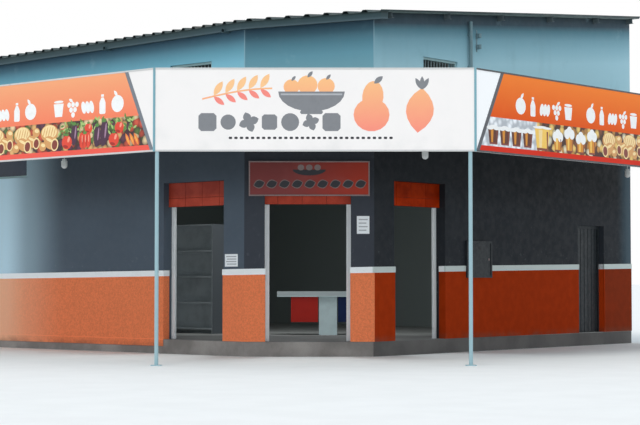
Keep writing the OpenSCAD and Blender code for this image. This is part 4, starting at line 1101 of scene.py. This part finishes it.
def emblem():
    """The corner's print: a bowl of fruit, a sprig, a row of shapes, two large fruits and a dotted line."""
    p = Print("corner", "emblem", "fascia_white", 0)
    bowl_s = 2.36
    p.add("grey", bowl(bowl_s, 0.9, 0.5, 0.3, 12), 1)
    p.add("grey", panel(bowl_s - 0.17, bowl_s + 0.17, 0.56, 0.62, 0.02))
    p.add("pale_grey", panel(bowl_s - 0.46, bowl_s + 0.46, 0.845, 0.87), 2)
    for shift, size, up in ((-0.3, 0.12, 0.97), (-0.06, 0.15, 1), (0.22, 0.13, 0.98)):
        p.add("emblem_fade", oval(bowl_s + shift, up, size, size * 0.95))
        p.add("grey", leaf(bowl_s + shift, up + size * 0.75, size * 0.8, size * 0.36, 50), 1)
    stem_w = 0.025
    stem = [(0.72 + 1.05 * i / 12, 0.8 + 0.16 * math.sin(math.pi * 0.5 * i / 12)) for i in range(13)]
    p.add("emblem_fade", stem + [(s, z - stem_w) for s, z in reversed(stem)])
    for s, z in stem[2:12:2]:
        p.add("soft_orange", leaf(s, z, 0.25, 0.1, 58), 1)
        p.add("coral", leaf(s, z - 0.02, 0.2, 0.08, -38), 1)
    row_z = 0.44
    row_pitch = 0.31
    for i in range(7):
        s = 0.8 + i * row_pitch
        size = 0.135 if i % 2 == 0 else 0.115
        if i % 3 == 1:
            p.add("grey", oval(s, row_z, size, size))
        elif i % 3 == 2:
            for turn in (20, 110, 200, 290):
                p.add("grey", leaf(s, row_z, size * 1.15, size * 0.9, turn))
        else:
            p.add("grey", panel(s - size, s + size, row_z - size, row_z + size, size * 0.3))
    p.add("emblem_fade", oval(3.26, 0.55, 0.27, 0.25))
    p.add("emblem_fade", oval(3.28, 0.82, 0.16, 0.24, -6))
    p.add("grey", leaf(3.3, 1.02, 0.17, 0.08, 40), 1)
    p.add("emblem_fade", leaf(3.95, 0.28, 0.68, 0.42, 84))
    for turn in (60, 90, 120):
        p.add("grey", leaf(4.02, 0.93, 0.2, 0.07, turn), 1)
    dot_w = 0.05
    dot_pitch = 0.083
    for i in range(30):
        s = 1.12 + i * dot_pitch
        p.add("dark", panel(s, s + dot_w, 0.185, 0.22, 0.008))
    p.finish()


def sign_print():
    """The sign board over the doorway: a dark bowl at its top and a row of dark leaves below."""
    p = Print("sign", "sign", "sign_red", 0)
    middle = SIGN_W / 2
    margin = 0.14
    leaves = 9
    p.add("dark", bowl(middle, 0.42, 0.28, 0.1, 10))
    for shift in (-0.14, 0, 0.14):
        p.add("sign_pale", oval(middle + shift, 0.455, 0.055, 0.05), 1)
    for i in range(leaves):
        s = margin + i * (SIGN_W - 2 * margin) / (leaves - 1)
        p.add("sign_pale", leaf(s - 0.085, 0.15, 0.2, 0.15, 16))
        p.add("dark", leaf(s - 0.075, 0.153, 0.18, 0.12, 16), 1)
    p.finish()


tiles()
window_bars()
high_window_glass()
roof_screws()
meter_box_details()
notices()
counter_panels()
side_print("front", "left", 0, 0.576, 0.075, 0.56, 0.8, vegetables)
side_print("side", "right", 0.010, 0.678, 0.080, 0.55, 1.2, drinks)
emblem()
sign_print()

# Stage, light and camera

STAGE_HALF = 400
SOFT_LIGHT = 0.95
SOFT_COLOUR = (0.86, 0.93, 1, 1)
WHITE = (1, 1, 1, 1)
SUN = 1
SUN_COLOUR = (1, 0.97, 0.92)
SUN_SOFT = 25
SUN_TILT = 40
SUN_TURN = 18
HALL_LAMP_W = 94
HALL_LAMP_SIZE = 1.6
HALL_LAMP_COLOUR = (0.94, 0.98, 1)
HALL_LAMP_AT = (3, -2.3, 4.4)

# The photograph's camera: on the chamfer's axis, looking slightly up
CAMERA_REACH = 29.24
CAMERA_ASIDE = 0.18
EYE_Z = 1.28
PITCH = 2.21
SENSOR_W = 36
SEEN_TO = 500
LENS_MM = 98.3


def stage():
    """A wide pale floor."""
    shape = bmesh.new()
    signs = ((-1, -1), (1, -1), (1, 1), (-1, 1))
    shape.faces.new([shape.verts.new((x * STAGE_HALF, y * STAGE_HALF, 0)) for x, y in signs])
    m = Shader("floor_pale", roughness=0.9)
    m.colour(m.patchy((232, 233, 232), (236, 237, 236), (1.5, 5), 0.3, 0.7))
    floor = add_mesh("floor", shape, "floor_pale")


def light():
    """A soft pale sky that looks white itself, a weak sun, and a lamp in the hall."""
    world = bpy.data.worlds.new("studio")
    bpy.context.scene.world = world
    sky = Tree(world)
    sky.tree.nodes.clear()
    path = sky.node("ShaderNodeLightPath").outputs
    seen = sky.math("MAXIMUM", path["Is Camera Ray"], path["Is Glossy Ray"])
    seen = sky.math("MAXIMUM", seen, path["Is Transmission Ray"])
    soft = sky.node("ShaderNodeBackground", {"Color": SOFT_COLOUR, "Strength": SOFT_LIGHT})
    white = sky.node("ShaderNodeBackground", {"Color": WHITE, "Strength": 1})
    mix = sky.node("ShaderNodeMixShader", {0: seen, 1: soft.outputs[0], 2: white.outputs[0]})
    sky.node("ShaderNodeOutputWorld", {"Surface": mix.outputs[0]})
    sun = bpy.data.lights.new("key", "SUN")
    sun.energy = SUN
    sun.angle = math.radians(SUN_SOFT)
    sun.color = SUN_COLOUR
    add_object("key", sun).rotation_euler = (math.radians(SUN_TILT), 0, math.radians(SUN_TURN))
    lamp = bpy.data.lights.new("hall", "AREA")
    lamp.shape = "SQUARE"
    lamp.size = HALL_LAMP_SIZE
    lamp.energy = HALL_LAMP_W
    lamp.color = HALL_LAMP_COLOUR
    add_object("hall", lamp).location = HALL_LAMP_AT


def camera():
    data = bpy.data.cameras.new("camera")
    data.sensor_width = SENSOR_W
    data.lens = LENS_MM
    data.clip_end = SEEN_TO
    made = add_object("camera", data)
    place = (corner_l + corner_r) / 2 + cut_dir * CAMERA_ASIDE + cut_out * CAMERA_REACH
    made.location = (place.x, place.y, EYE_Z)
    made.rotation_euler = (math.radians(90 + PITCH), 0, math.atan2(cut_dir.y, cut_dir.x))
    bpy.context.scene.camera = made


stage()
light()
camera()
bpy.context.scene.view_settings.view_transform = "Standard"
